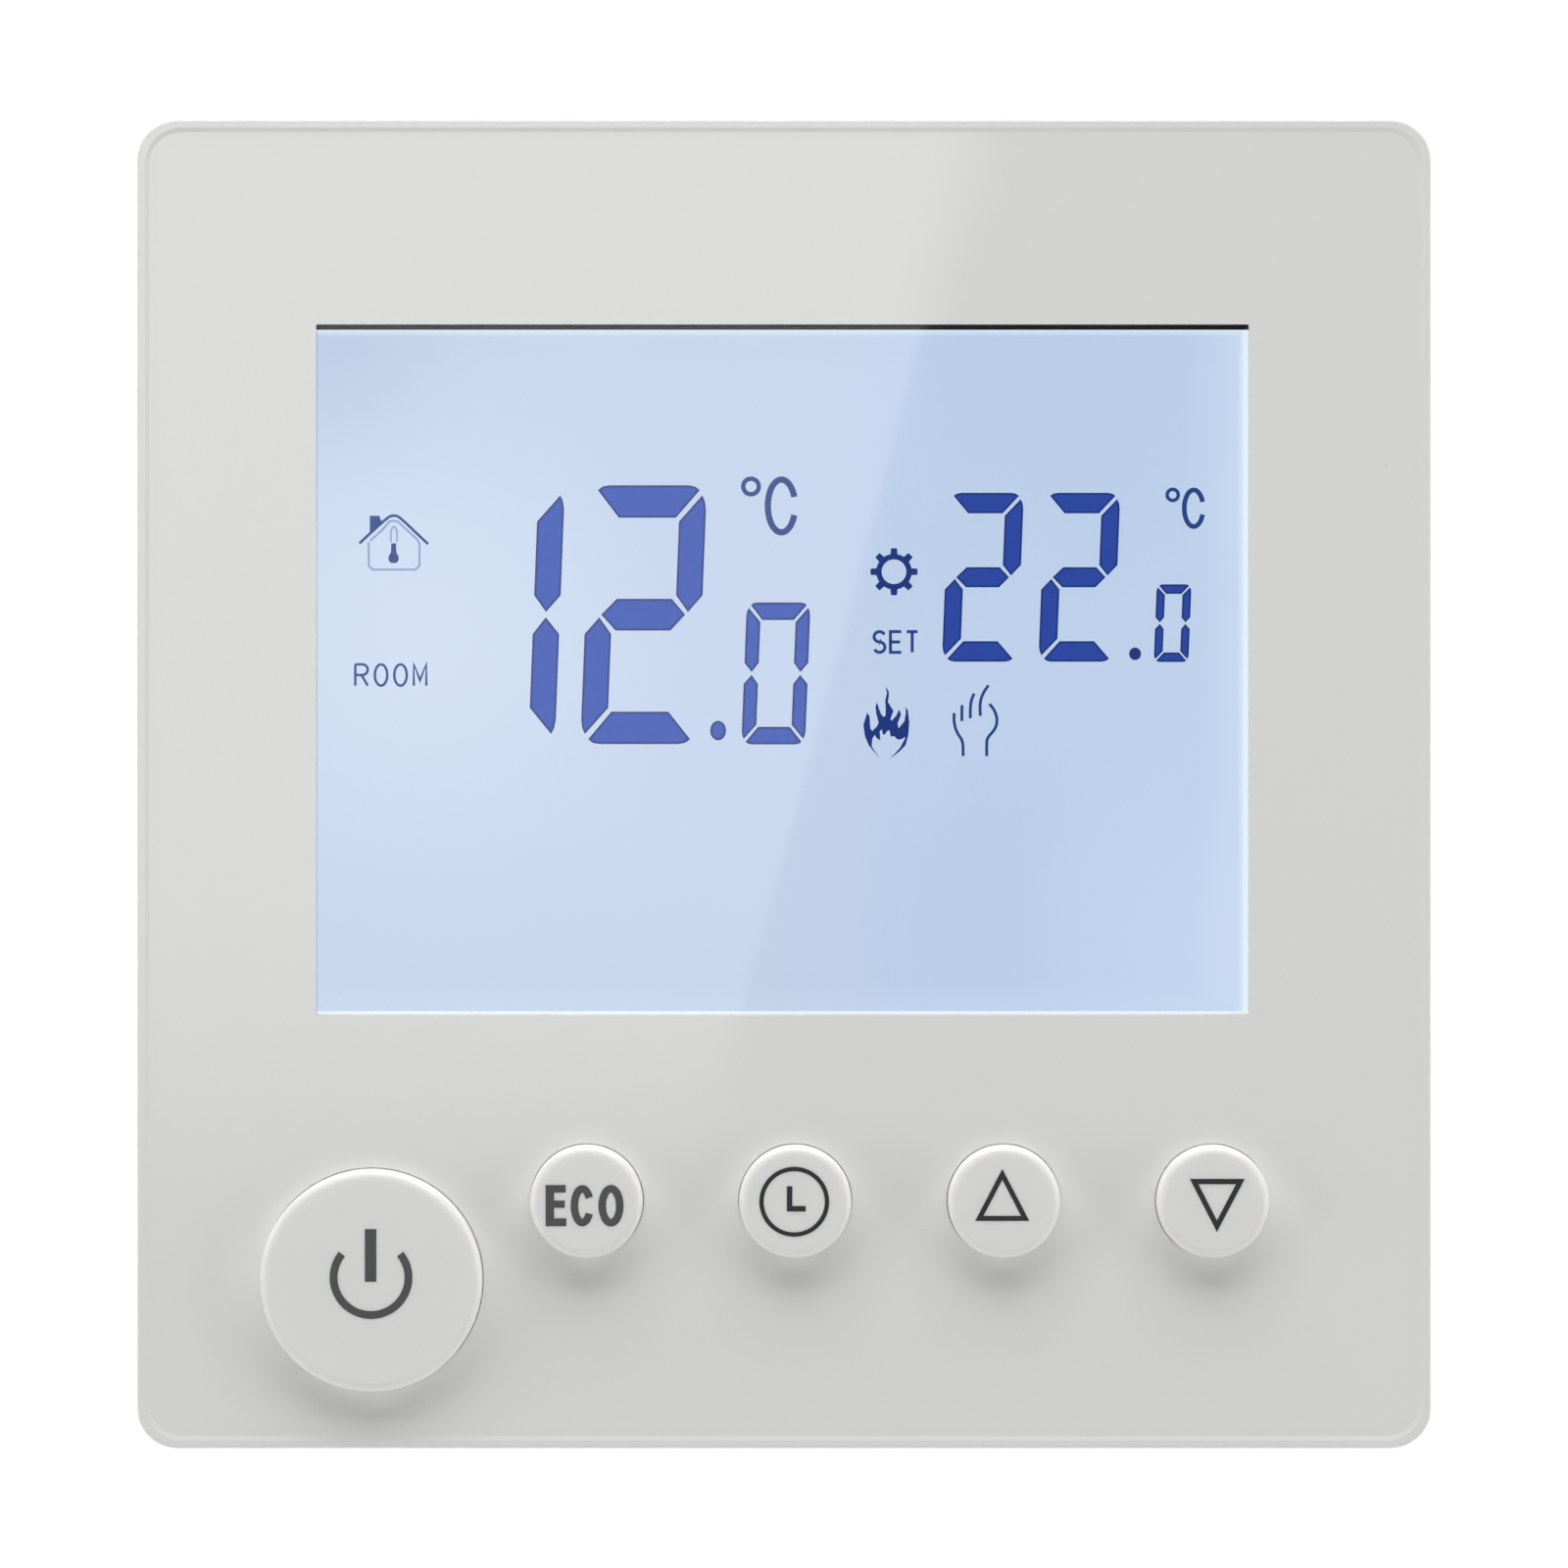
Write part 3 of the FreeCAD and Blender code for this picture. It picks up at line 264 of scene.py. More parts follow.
def display_material(low, high):
    """The lit display: pale blue, with the backlight's brighter and darker places."""
    s = Shader("display_glass")
    axes = s.node("ShaderNodeSeparateXYZ")
    s.link(s.place, axes.inputs[0])
    x, z = axes.outputs[0], axes.outputs[2]

    def near(right, up, radius, share):
        """A soft round patch, its centre given as shares of the window from its low corner."""
        gap = s.node("ShaderNodeVectorMath", operation="DISTANCE")
        flat = s.node("ShaderNodeCombineXYZ")
        s.link(x, flat.inputs[0])
        s.link(z, flat.inputs[2])
        s.link(flat.outputs[0], gap.inputs[0])
        gap.inputs[1].default_value = (low.x + (high.x - low.x) * right, 0,
                                       low.z + (high.z - low.z) * up)
        return s.span(gap.outputs["Value"], 0.0, radius, share, 0.0, True)

    across = s.span(x, low.x + 0.030, low.x + 0.045, 0.0, 1.0, True)
    glow = s.mix(across, (0.545, 0.640, 0.815), (0.508, 0.628, 0.834))
    glow = s.mix(s.span(s.noise(0.018, 1.5), 0.35, 0.65, 0.0, 0.5), glow, (0.560, 0.665, 0.850))
    glow = s.mix(near(0.11, 0.55, 0.021, 0.8), glow, (0.640, 0.730, 0.885))
    glow = s.mix(near(0.0, 1.0, 0.013, 0.8), glow, (0.470, 0.565, 0.745))
    glow = s.mix(near(1.0, 0.1, 0.018, 0.6), glow, (0.620, 0.735, 0.920))
    right = s.span(x, high.x - 0.0045, high.x, 0.0, 0.7, True)
    under = s.span(z, low.z, low.z + 0.0025, 0.35, 0.0, True)
    glow = s.mix(s.math("MAXIMUM", right, under), glow, (0.620, 0.735, 0.920))
    edge = s.span(x, high.x - 0.0007, high.x - 0.0001, 0.0, 1.0, True)
    upper = s.span(z, high.z - 0.0008, high.z - 0.0003, 0.0, 0.6, True)
    glow = s.mix(s.math("MAXIMUM", edge, upper), glow, (0.82, 0.92, 1.0))
    s.link(glow, s.principled.inputs["Emission Color"])
    s.set(Emission_Strength=1.0, Roughness=0.5)
    s.principled.inputs["Base Color"].default_value = (0.04, 0.05, 0.06, 1)
    s.set(Specular_IOR_Level=0.0)
    s.bump(s.noise(0.0002, 2.0), 0.02, 0.000001)
    return s.material


def ink(name, colour, glow=None, strength=0.0, vary=0.05):
    """Print or a lit segment: colour that thins a little here and there."""
    s = Shader(name)
    fade = s.span(s.noise(0.0012, 3.0), 0.3, 0.7, 0.0, 1.0)
    light = tuple(min(c * (1 + vary) + 0.01 * vary, 1) for c in colour)
    s.link(s.mix(fade, colour, light), s.principled.inputs["Base Color"])
    s.link(s.span(s.noise(0.0008, 2.0), 0.3, 0.7, 0.45, 0.6), s.principled.inputs["Roughness"])
    s.set(Specular_IOR_Level=0.15)
    if glow:
        bright = tuple(min(c * (1 + vary), 1) for c in glow)
        s.link(s.mix(fade, glow, bright), s.principled.inputs["Emission Color"])
        s.set(Emission_Strength=strength)
    return s.material


def holder_with_painted_glow(level):
    """White holder; a painted glow of pale blue light shines from it above the ledge level, so the
    bar under the display looks lit.
    """
    material = moulded("white_inner_plastic", (0.82, 0.83, 0.84), 0.45)
    tree = material.node_tree
    shader = tree.nodes["Principled BSDF"]
    place = tree.nodes.new("ShaderNodeTexCoord")
    axes = tree.nodes.new("ShaderNodeSeparateXYZ")
    ramp = tree.nodes.new("ShaderNodeMapRange")
    ramp.interpolation_type = "SMOOTHSTEP"
    # Painted glow: emission strength climbs from nothing to 0.55 just below the ledge level and holds
    # above it.
    ramp.inputs["From Min"].default_value = level - 0.0009
    ramp.inputs["From Max"].default_value = level - 0.0001
    ramp.inputs["To Max"].default_value = 0.55
    tree.links.new(place.outputs["Object"], axes.inputs[0])
    tree.links.new(axes.outputs[2], ramp.inputs["Value"])
    tree.links.new(ramp.outputs[0], shader.inputs["Emission Strength"])
    shader.inputs["Emission Color"].default_value = (0.92, 0.97, 1.0, 1)
    return material


lens_low, lens_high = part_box("window_lens")
glass_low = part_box("lcd_glass")[0]

MATERIALS = {
    "white_shell": glossy_white("white_shell", WHITE, 0.10),
    "white_fascia": glossy_white("white_fascia", WHITE, 0.035),
    "clear_window": window_material(),
    "display_glass": display_material(lens_low, lens_high),
    "black_foam": moulded("black_foam", (0.012, 0.014, 0.018), 0.75, 0.0003, 0.00003, 0.2),
    # The holder carries a painted glow, pale blue light painted on above the ledge level.
    "white_inner_plastic": holder_with_painted_glow(glass_low.z + LEDGE_HEIGHT),
    "light_guide": moulded("light_guide", (0.86, 0.88, 0.90), 0.12),
    "led": moulded("led", (0.88, 0.88, 0.80), 0.35),
    "dark_rubber": moulded("dark_rubber", (0.04, 0.04, 0.045), 0.6),
    "circuit_board": circuit("circuit_board"),
    "switch_metal": metal("switch_metal", (0.62, 0.62, 0.60), 0.3),
    "plunger_plastic": moulded("plunger_plastic", (0.03, 0.03, 0.03), 0.45),
    "chip_epoxy": moulded("chip_epoxy", (0.025, 0.025, 0.027), 0.55, 0.0002, 0.00001),
    "chip_part": moulded("chip_part", (0.08, 0.06, 0.05), 0.5),
    "bright_can": metal("bright_can", (0.74, 0.73, 0.70), 0.2),
    "sensor_epoxy": moulded("sensor_epoxy", (0.05, 0.035, 0.03), 0.3),
    "header_plastic": moulded("header_plastic", (0.02, 0.02, 0.022), 0.45),
    "brass_contact": metal("brass_contact", (0.80, 0.62, 0.30), 0.25),
    "box_plastic": moulded("box_plastic", (0.60, 0.60, 0.585), 0.5, 0.0005, 0.00002, 0.03),
    "zinc_screw": metal("zinc_screw", (0.66, 0.67, 0.68), 0.28),
    "white_button": translucent(moulded("white_button", WHITE, 0.30, 0.00025, 0.000002, 0.006, 0.04)),
    "galvanised_plate": spangled("galvanised_plate", (0.62, 0.63, 0.64)),
    "relay_plastic": moulded("relay_plastic", (0.02, 0.07, 0.22), 0.35),
    "core_iron": laminated("core_iron"),
    "coil_tape": moulded("coil_tape", (0.60, 0.42, 0.05), 0.4),
    "capacitor_sleeve": moulded("capacitor_sleeve", (0.03, 0.035, 0.06), 0.3),
    "film_capacitor_shell": moulded("film_capacitor_shell", (0.62, 0.50, 0.09), 0.45),
    "varistor_coat": moulded("varistor_coat", (0.03, 0.10, 0.30), 0.35),
    "fuse_plastic": moulded("fuse_plastic", (0.05, 0.05, 0.055), 0.4),
    "terminal_plastic": moulded("terminal_plastic", (0.06, 0.065, 0.07), 0.42, 0.0004, 0.00001),
    "plated_cage": metal("plated_cage", (0.68, 0.67, 0.64), 0.3),
}
SEGMENT = ink("segment_ink", (0.010, 0.020, 0.10), (0.018, 0.052, 0.295), 1.0)
ROOM_SEGMENT = ink("room_segment_ink", (0.010, 0.020, 0.10), (0.030, 0.082, 0.390), 1.0)
SEGMENT_EDGE = ink("segment_edge_ink", (0.008, 0.016, 0.06), (0.008, 0.028, 0.170), 1.0)
FINE = ink("fine_ink", (0.012, 0.025, 0.08), (0.010, 0.045, 0.190), 1.0)
FAINT = ink("faint_ink", (0.10, 0.14, 0.22), (0.19, 0.28, 0.46), 1.0)
LEGEND = ink("legend_ink", (0.040, 0.042, 0.045))
GREY_LEGEND = ink("grey_legend_ink", (0.098, 0.100, 0.102))

slots = {part["node"]: part["material_slot"] for part in frame["record"]["subparts"]}
for node, obj in frame["nodes"].items():
    obj.data.materials.clear()
    obj.data.materials.append(MATERIALS[slots[node]])
    if node == "window_lens":
        slack = obj.modifiers.new("slack", "DISPLACE")
        slack.mid_level = 0.0
        slack.strength = -WINDOW_SLACK


# ---------------------------------------------------------------- flat shapes


# Smallest cosine used at a corner, so that a sharp bend doesn't reach far out.
STROKE_MITRE = 0.4
INSET_MITRE = 0.5


class Print:
    """Thin flat shapes in one plane that faces -Y, built from outlines in millimetres."""

    def __init__(self, name, origin, face_y, thickness, material):
        self.name = name
        self.origin = origin
        self.face_y = face_y
        self.thickness = thickness
        self.material = material
        self.vertices = []
        self.faces = []

    def point(self, x, z, back=False):
        y = self.face_y + (self.thickness if back else 0.0)
        self.vertices.append((self.origin.x + x * MM, y, self.origin.z + z * MM))
        return len(self.vertices) - 1

    def area(self, points):
        """A filled outline."""
        turn = sum(a[0] * b[1] - b[0] * a[1] for a, b in zip(points, points[1:] + points[:1]))
        if turn < 0:
            points = points[::-1]
        front = [self.point(x, z) for x, z in points]
        back = [self.point(x, z, True) for x, z in points]
        self.faces.append(front)
        self.faces.append(back[::-1])
        count = len(points)
        for i in range(count):
            j = (i + 1) % count
            self.faces.append([front[j], front[i], back[i], back[j]])

    def stroke(self, points, width, closed=False):
        """A line of even width along points, with mitred bends."""
        count = len(points)
        sides = []
        for i, (x, z) in enumerate(points):
            before = points[i - 1] if i or closed else None
            after = points[(i + 1) % count] if i < count - 1 or closed else None
            ways = []
            for start, end in ((before, (x, z)), ((x, z), after)):
                if start is None or end is None:
                    continue
                way = Vector((end[0] - start[0], end[1] - start[1]))
                ways.append(way.normalized())
            if len(ways) == 2:
                mean = (ways[0] + ways[1]).normalized()
                reach = width / 2 / max(mean.dot(ways[0]), STROKE_MITRE)
            else:
                mean = ways[0]
                reach = width / 2
            off = Vector((-mean.y, mean.x)) * reach
            sides.append(((x + off.x, z + off.y), (x - off.x, z - off.y)))
        rings = []
        for left, right in sides:
            rings.append((self.point(*left), self.point(*right),
                          self.point(*left, True), self.point(*right, True)))
        for i in range(count if closed else count - 1):
            a, b = rings[i], rings[(i + 1) % count]
            self.faces.append([a[0], a[1], b[1], b[0]])
            self.faces.append([a[2], b[2], b[3], a[3]])
            self.faces.append([a[0], b[0], b[2], a[2]])
            self.faces.append([a[1], a[3], b[3], b[1]])
        if not closed:
            first, last = rings[0], rings[-1]
            self.faces.append([first[0], first[2], first[3], first[1]])
            self.faces.append([last[0], last[1], last[3], last[2]])

    def build(self, body):
        mesh = bpy.data.meshes.new(self.name)
        mesh.from_pydata(self.vertices, [], self.faces)
        mesh.materials.append(self.material)
        mesh.update()
        made = bpy.data.objects.new(self.name, mesh)
        bpy.context.scene.collection.objects.link(made)
        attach(made, body)
        return made


def arc(x, z, rx, rz, start, end, steps=40):
    """Points on an ellipse between two angles in degrees."""
    points = []
    for i in range(steps + 1):
        a = math.radians(start + (end - start) * i / steps)
        points.append((x + rx * math.cos(a), z + rz * math.sin(a)))
    return points


def ring(x, z, rx, rz, steps=48):
    """Points round a whole ellipse, each once."""
    return arc(x, z, rx, rz, 0, 360, steps)[:-1]


# ---------------------------------------------------------------- display

# The digits lean by this share of their height.
SLANT = 0.039
# Width of the dark edge round the bright middle of a segment.
EDGE = 0.13
# Width and height of each kind of digit, then the widths of its upright and level segments.
ROOM_DIGIT = (7.77, 17.25, 1.77, 2.16)
ROOM_DECIMAL = (4.26, 9.46, 0.96, 1.17)
TARGET_DIGIT = (5.03, 11.26, 1.22, 1.37)
TARGET_DECIMAL = (2.32, 5.18, 0.58, 0.64)
# Which segments each digit lights.
LIT = {"0": "abcdef", "1": "bc", "2": "abdeg"}


def segments(width, height, upright, level):
    """The seven segments of a digit, as outlines, from stroke widths of its legs and bars."""
    w, h, m = width, height, height / 2
    u, v = upright, level
    top = [(0.29 * u, h - 0.15 * v), (0.46 * u, h - 0.04 * v), (0.72 * u, h),
           (w - 0.70 * u, h), (w - 0.44 * u, h - 0.04 * v), (w - 0.26 * u, h - 0.15 * v),
           (w - 1.12 * u, h - v), (1.12 * u, h - v)]
    right = [(w - 0.16 * u, h - 0.31 * v), (w - 0.05 * u, h - 0.50 * v), (w, h - 0.76 * v),
             (w, m + 0.60 * v), (w - 0.53 * u, m + 0.08 * v), (w - u, m + 0.60 * v),
             (w - u, h - 1.12 * v)]
    middle = [(0.60 * u, m), (1.16 * u, m + 0.49 * v), (w - 1.16 * u, m + 0.49 * v),
              (w - 0.63 * u, m), (w - 1.16 * u, m - 0.49 * v), (1.16 * u, m - 0.49 * v)]

    def flip_x(points):
        return [(w - x, z) for x, z in points]

    def flip_z(points):
        return [(x, h - z) for x, z in points]

    return {"a": top, "b": right, "c": flip_z(right), "d": flip_z(top),
            "e": flip_x(flip_z(right)), "f": flip_x(right), "g": middle}


def inset(points, distance):
    """A convex outline moved inwards by distance."""
    turn = sum(a[0] * b[1] - b[0] * a[1] for a, b in zip(points, points[1:] + points[:1]))
    if turn < 0:
        points = points[::-1]
    moved = []
    for before, here, after in zip(points[-1:] + points[:-1], points, points[1:] + points[:1]):
        first = Vector((here[0] - before[0], here[1] - before[1])).normalized()
        second = Vector((after[0] - here[0], after[1] - here[1])).normalized()
        mean = (first + second).normalized()
        reach = distance / max(mean.dot(first), INSET_MITRE)
        moved.append((here[0] - mean.y * reach, here[1] + mean.x * reach))
    return moved


def digit(rim, core, glyph, x, z, width, height, upright, level):
    """One lit digit: dark segments on rim, and their brighter middles on core."""
    shapes = segments(width, height, upright, level)
    for name in LIT[glyph]:
        outline = [(x + px + SLANT * pz, z + pz) for px, pz in shapes[name]]
        rim.area(outline)
        core.area(inset(outline, EDGE))


def degrees_c(sheet, ring_x, ring_z, ring_r, ring_stroke, c_x, c_z, half_w, half_h, stroke):
    """The sign for degrees Celsius: a small ring and an open C."""
    sheet.stroke(ring(ring_x, ring_z, ring_r, ring_r), ring_stroke, closed=True)
    sheet.stroke(arc(c_x, c_z, half_w, half_h, 20, 340), stroke)


def letters(sheet, text, x, z, height, width, pitch, stroke):
    """Plain narrow capitals drawn as strokes."""
    h, w = height - stroke, width - stroke
    forms = {
        "E": [[(w, h), (0, h), (0, 0), (w, 0)], [(0, h / 2), (w * 0.9, h / 2)]],
        "T": [[(0, h), (w, h)], [(w / 2, h), (w / 2, 0)]],
        "O": [arc(w / 2, h / 2, w / 2, h / 2, 90, 450, 28)],
        "M": [[(0, 0), (0, h), (w / 2, h * 0.25), (w, h), (w, 0)]],
        "R": [[(0, 0), (0, h)],
              [(0, h)] + arc(w * 0.55, h * 0.75, w * 0.45, h * 0.25, 90, -90, 12) + [(0, h / 2)],
              [(w * 0.5, h / 2), (w, 0)]],
        "S": [arc(w / 2, h * 0.75, w / 2, h * 0.25, 25, 270, 16)
              + arc(w / 2, h * 0.25, w / 2, h * 0.25, 90, -155, 16)],
    }
    for index, letter in enumerate(text):
        left = x + index * pitch + stroke / 2
        for line in forms[letter]:
            sheet.stroke([(left + px, z + stroke / 2 + pz) for px, pz in line], stroke)


def shifted(points, x, z):
    """The points moved by x and z."""
    return [(x + px, z + pz) for px, pz in points]


# The flame as one outline and the open hand as five lines, from the middle of their lower edge.
FLAME = [
    (-1.30, 3.10), (-1.13, 2.85), (-1.09, 2.07), (-0.96, 1.87), (-0.66, 2.17), (-0.53, 2.43),
    (-0.70, 3.05), (-0.74, 3.50), (-0.65, 3.80), (-0.53, 3.42), (-0.38, 3.02), (-0.19, 2.80),
    (-0.08, 2.90), (-0.06, 3.36), (-0.10, 3.90), (0.02, 4.40), (-0.08, 4.86), (0.15, 4.50),
    (0.15, 4.20), (0.08, 3.82), (0.46, 3.21), (0.27, 2.72), (0.31, 2.54), (0.64, 2.89),
    (0.84, 3.32), (0.96, 2.97), (0.73, 2.37), (0.80, 2.05), (1.18, 2.52), (1.28, 3.06),
    (1.26, 3.48), (1.43, 3.21), (1.51, 2.43), (1.45, 1.61), (1.26, 0.92), (0.88, 0.53),
    (0.20, 0.00), (0.88, 0.73), (1.19, 1.30), (1.24, 1.48), (0.97, 1.32), (0.73, 1.30),
    (0.50, 1.53), (0.27, 1.49), (0.19, 1.91), (0.08, 1.91), (-0.15, 1.61), (-0.27, 1.68),
    (-0.31, 1.99), (-0.46, 1.84), (-0.42, 1.26), (-0.65, 1.38), (-0.80, 1.61), (-0.96, 1.34),
    (-0.99, 0.84), (-0.46, 0.04), (-1.19, 0.92), (-1.45, 1.53), (-1.55, 2.29),
]
HAND = [
    [(-1.41, 2.87), (-1.43, 2.41), (-1.34, 1.87), (-1.15, 1.45), (-0.82, 0.99), (-0.81, 0.0)],
    [(-0.88, 3.40), (-0.90, 2.94), (-0.89, 2.33)],
    [(-0.08, 4.17), (-0.27, 3.71), (-0.33, 3.25), (-0.33, 2.52)],
    [(0.88, 4.72), (0.54, 4.24), (0.34, 3.71), (0.31, 3.17), (0.34, 2.68)],
    [(0.94, 3.48), (1.26, 3.10), (1.45, 2.56), (1.43, 2.10), (1.26, 1.72), (0.78, 1.19),
     (0.76, 0.76), (0.76, 0.0)],
]


def smooth(points, times=2):
    """Corner cutting that keeps the ends."""
    for _ in range(times):
        cut = [points[0]]
        for a, b in zip(points, points[1:]):
            cut.append((a[0] * 0.75 + b[0] * 0.25, a[1] * 0.75 + b[1] * 0.25))
            cut.append((a[0] * 0.25 + b[0] * 0.75, a[1] * 0.25 + b[1] * 0.75))
        cut.append(points[-1])
        points = cut
    return points


def gear(sheet, x, z, tooth, body, hole, teeth=8):
    """A cog outline drawn as one closed band of varying width."""
    per_tooth = 12
    steps = teeth * per_tooth
    outer, inner = [], []
    for i in range(steps):
        a = 2 * math.pi * i / steps
        phase = (i % per_tooth) / per_tooth
        radius = tooth if phase < 0.24 or phase > 0.80 else body
        a_off = a + math.pi / 2
        outer.append((x + radius * math.cos(a_off), z + radius * math.sin(a_off)))
        inner.append((x + hole * math.cos(a_off), z + hole * math.sin(a_off)))
    for i in range(steps):
        j = (i + 1) % steps
        sheet.area([outer[i], outer[j], inner[j], inner[i]])


# Display prints are placed in millimetres from the lower left corner of the window.
ORIGIN = Vector((lens_low.x, 0, lens_low.z))
INK_DEPTH = 0.02 * MM
INK_FACE = glass_low.y - INK_DEPTH
LAYER = 0.004 * MM


def display_print(name, material, layer=0):
    """A print on the display glass; layer 1 lies on top of layer 0."""
    return Print(name, ORIGIN, INK_FACE - layer * LAYER, INK_DEPTH, material)


room = display_print("room_temperature_segments", SEGMENT_EDGE)
room_core = display_print("room_temperature_cores", ROOM_SEGMENT, 1)
digit(room, room_core, "1", 8.06, 18.06, *ROOM_DIGIT)
digit(room, room_core, "2", 17.52, 18.06, *ROOM_DIGIT)
room.area(ring(26.71, 18.96, 0.53, 0.65))
room_core.area(ring(26.71, 18.96, 0.53 - EDGE, 0.65 - EDGE))
digit(room, room_core, "0", 28.25, 18.04, *ROOM_DECIMAL)
room.build("front_unit")
room_core.build("front_unit")

target = display_print("set_temperature_segments", SEGMENT_EDGE)
target_core = display_print("set_temperature_cores", SEGMENT, 1)
digit(target, target_core, "2", 41.62, 23.55, *TARGET_DIGIT)
digit(target, target_core, "2", 48.05, 23.55, *TARGET_DIGIT)
target.area(ring(54.50, 24.08, 0.40, 0.42))
digit(target, target_core, "0", 55.74, 23.53, *TARGET_DECIMAL)
target.build("front_unit")
target_core.build("front_unit")

units = display_print("temperature_units", FINE)
degrees_c(units, 28.90, 35.23, 0.52, 0.30, 30.93, 33.93, 0.91, 1.76, 0.42)
degrees_c(units, 57.01, 34.67, 0.37, 0.24, 58.41, 33.78, 0.63, 1.22, 0.32)
letters(units, "ROOM", 2.44, 21.87, 1.59, 1.00, 1.30, 0.17)
letters(units, "SET", 37.00, 24.07, 1.59, 0.93, 1.09, 0.21)
units.build("front_unit")

symbols = display_print("display_symbols", SEGMENT_EDGE)
gear(symbols, 38.43, 29.55, 1.57, 1.19, 0.82)
symbols.area(shifted(FLAME, 37.94, 17.06))
symbols.build("front_unit")

hand = display_print("hand_symbol", FINE)
for line in HAND:
    hand.stroke(smooth(shifted(line, 43.85, 17.26)), 0.20)
hand.build("front_unit")

HOUSE_X, HOUSE_Z = 5.09, 29.69
house = display_print("house_symbol", FINE)
roof = [(-2.29, 1.75), (-1.50, 2.49), (-0.71, 3.20), (-0.29, 3.55), (0.0, 3.61), (0.29, 3.55),
        (0.62, 3.28), (1.41, 2.53), (2.29, 1.70)]
house.stroke(smooth(shifted(roof, HOUSE_X, HOUSE_Z), 1), 0.18)
house.area(shifted([(-1.60, 3.59), (-0.96, 3.59), (-0.87, 3.32), (-0.71, 3.22), (-1.50, 2.49),
                    (-1.60, 2.49)], HOUSE_X, HOUSE_Z))
house.area(shifted([(-0.17, 1.75), (0.15, 1.75), (0.17, 1.15), (0.32, 0.88), (0.33, 0.62),
                    (0.17, 0.44), (-0.19, 0.44), (-0.35, 0.62), (-0.34, 0.88), (-0.19, 1.15)],
                   HOUSE_X, HOUSE_Z))
house.build("front_unit")

pale = display_print("house_outline", FAINT)
walls = [(-1.58, 1.91), (-0.71, 2.70), (-0.29, 3.20), (0.0, 3.26), (0.29, 3.18), (1.00, 2.53),
         (1.58, 1.99), (1.72, 1.70), (1.71, 0.25), (1.45, 0.0), (-1.41, 0.0), (-1.66, 0.25),
         (-1.68, 1.83)]
pale.stroke(shifted(walls, HOUSE_X, HOUSE_Z), 0.14)
tube = [(-0.19, 1.83), (-0.19, 2.58), (-0.08, 2.83), (0.01, 2.87), (0.12, 2.78), (0.21, 2.57),
        (0.21, 1.83)]
pale.stroke(shifted(tube, HOUSE_X, HOUSE_Z), 0.12)
pale.build("front_unit")


# ---------------------------------------------------------------- button legends

LEGEND_DEPTH = 0.012 * MM


def legend(key, material=LEGEND):
    """An empty print on a button's face, with its origin at the button's centre."""
    low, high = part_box(key + "_button")
    centre = (low + high) / 2
    return Print(key + "_legend", Vector((centre.x, 0, centre.z)), low.y - LEGEND_DEPTH,
                 LEGEND_DEPTH, material)


mark = legend("power", GREY_LEGEND)
mark.stroke(arc(0.03, 0.22, 2.48, 2.48, 141, 399, 60), 0.52)
mark.area([(-0.38, -0.06), (0.38, -0.06), (0.38, 3.43), (-0.38, 3.43)])
mark.build("power_key")

mark = legend("eco", GREY_LEGEND)
E_LEFT, E_LOW, E_HIGH = -2.69, -1.62, 1.11
mark.area([(E_LEFT, E_LOW), (E_LEFT + 1.37, E_LOW), (E_LEFT + 1.37, E_LOW + 0.52),
           (E_LEFT + 0.56, E_LOW + 0.52), (E_LEFT + 0.56, E_LOW + 1.22),
           (E_LEFT + 1.27, E_LOW + 1.22), (E_LEFT + 1.27, E_LOW + 1.70),
           (E_LEFT + 0.56, E_LOW + 1.70), (E_LEFT + 0.56, E_HIGH - 0.50),
           (E_LEFT + 1.33, E_HIGH - 0.50), (E_LEFT + 1.33, E_HIGH), (E_LEFT, E_HIGH)])
mark.stroke(arc(-0.26, -0.26, 0.52, 1.12, 28, 332, 36), 0.50)
mark.stroke(ring(1.64, -0.26, 0.58, 1.13), 0.50, closed=True)
mark.build("eco_key")

mark = legend("clock")
mark.stroke(ring(-0.07, 0.0, 2.17, 2.17, 72), 0.29, closed=True)
mark.stroke([(-0.38, 1.03), (-0.38, -0.46), (0.69, -0.46)], 0.36)
mark.build("clock_key")

mark = legend("up")
mark.stroke([(-0.14, 1.82), (1.38, -1.10), (-1.66, -1.10)], 0.33, closed=True)
mark.build("up_key")

mark = legend("down")
mark.stroke([(0.23, -1.62), (-1.28, 1.34), (1.78, 1.34)], 0.35, closed=True)
mark.build("down_key")


# ---------------------------------------------------------------- studio


FLOOR_Z, WALL_Y, WALL_TOP, HALF_ROOM = -0.55, 1.5, 3.6, 4.5
BACKDROP_GLOW = 1.05
# The floor's own glow: its share, the two depths between which it changes, and its strengths there.
FLOOR_GLOW_SHARE = 0.8
FLOOR_GLOW_DEPTHS = (0.7, 1.45)
FLOOR_GLOW_STRENGTHS = (0.76, 1.2)
# Camera distance from the front, and the width of the picture there.
DISTANCE = 0.56
FRAME_WIDTH = 0.1042
SENSOR = 36.0
# The card that shows as a slanted light band: size against its mirror image, brightness, corners
# of the band and heights between which it fades out, in millimetres from the front's centre.
CARD_SCALE = 3.0
CARD_GLOW = 1.75
CARD_CORNERS = [(13.0, 44.1), (17.0, 59.2), (-80.0, 59.2), (-80.0, -46.0), (-11.0, -46.0)]
CARD_FADE = (-36.0, -2.0)


def stage_sheet(name, corners, material):
    """A flat backdrop piece with the given corners in metres."""
    mesh = bpy.data.meshes.new(name)
    mesh.from_pydata([tuple(c) for c in corners], [], [tuple(range(len(corners)))])
    mesh.materials.append(material)
    made = bpy.data.objects.new(name, mesh)
    bpy.context.scene.collection.objects.link(made)
    return made


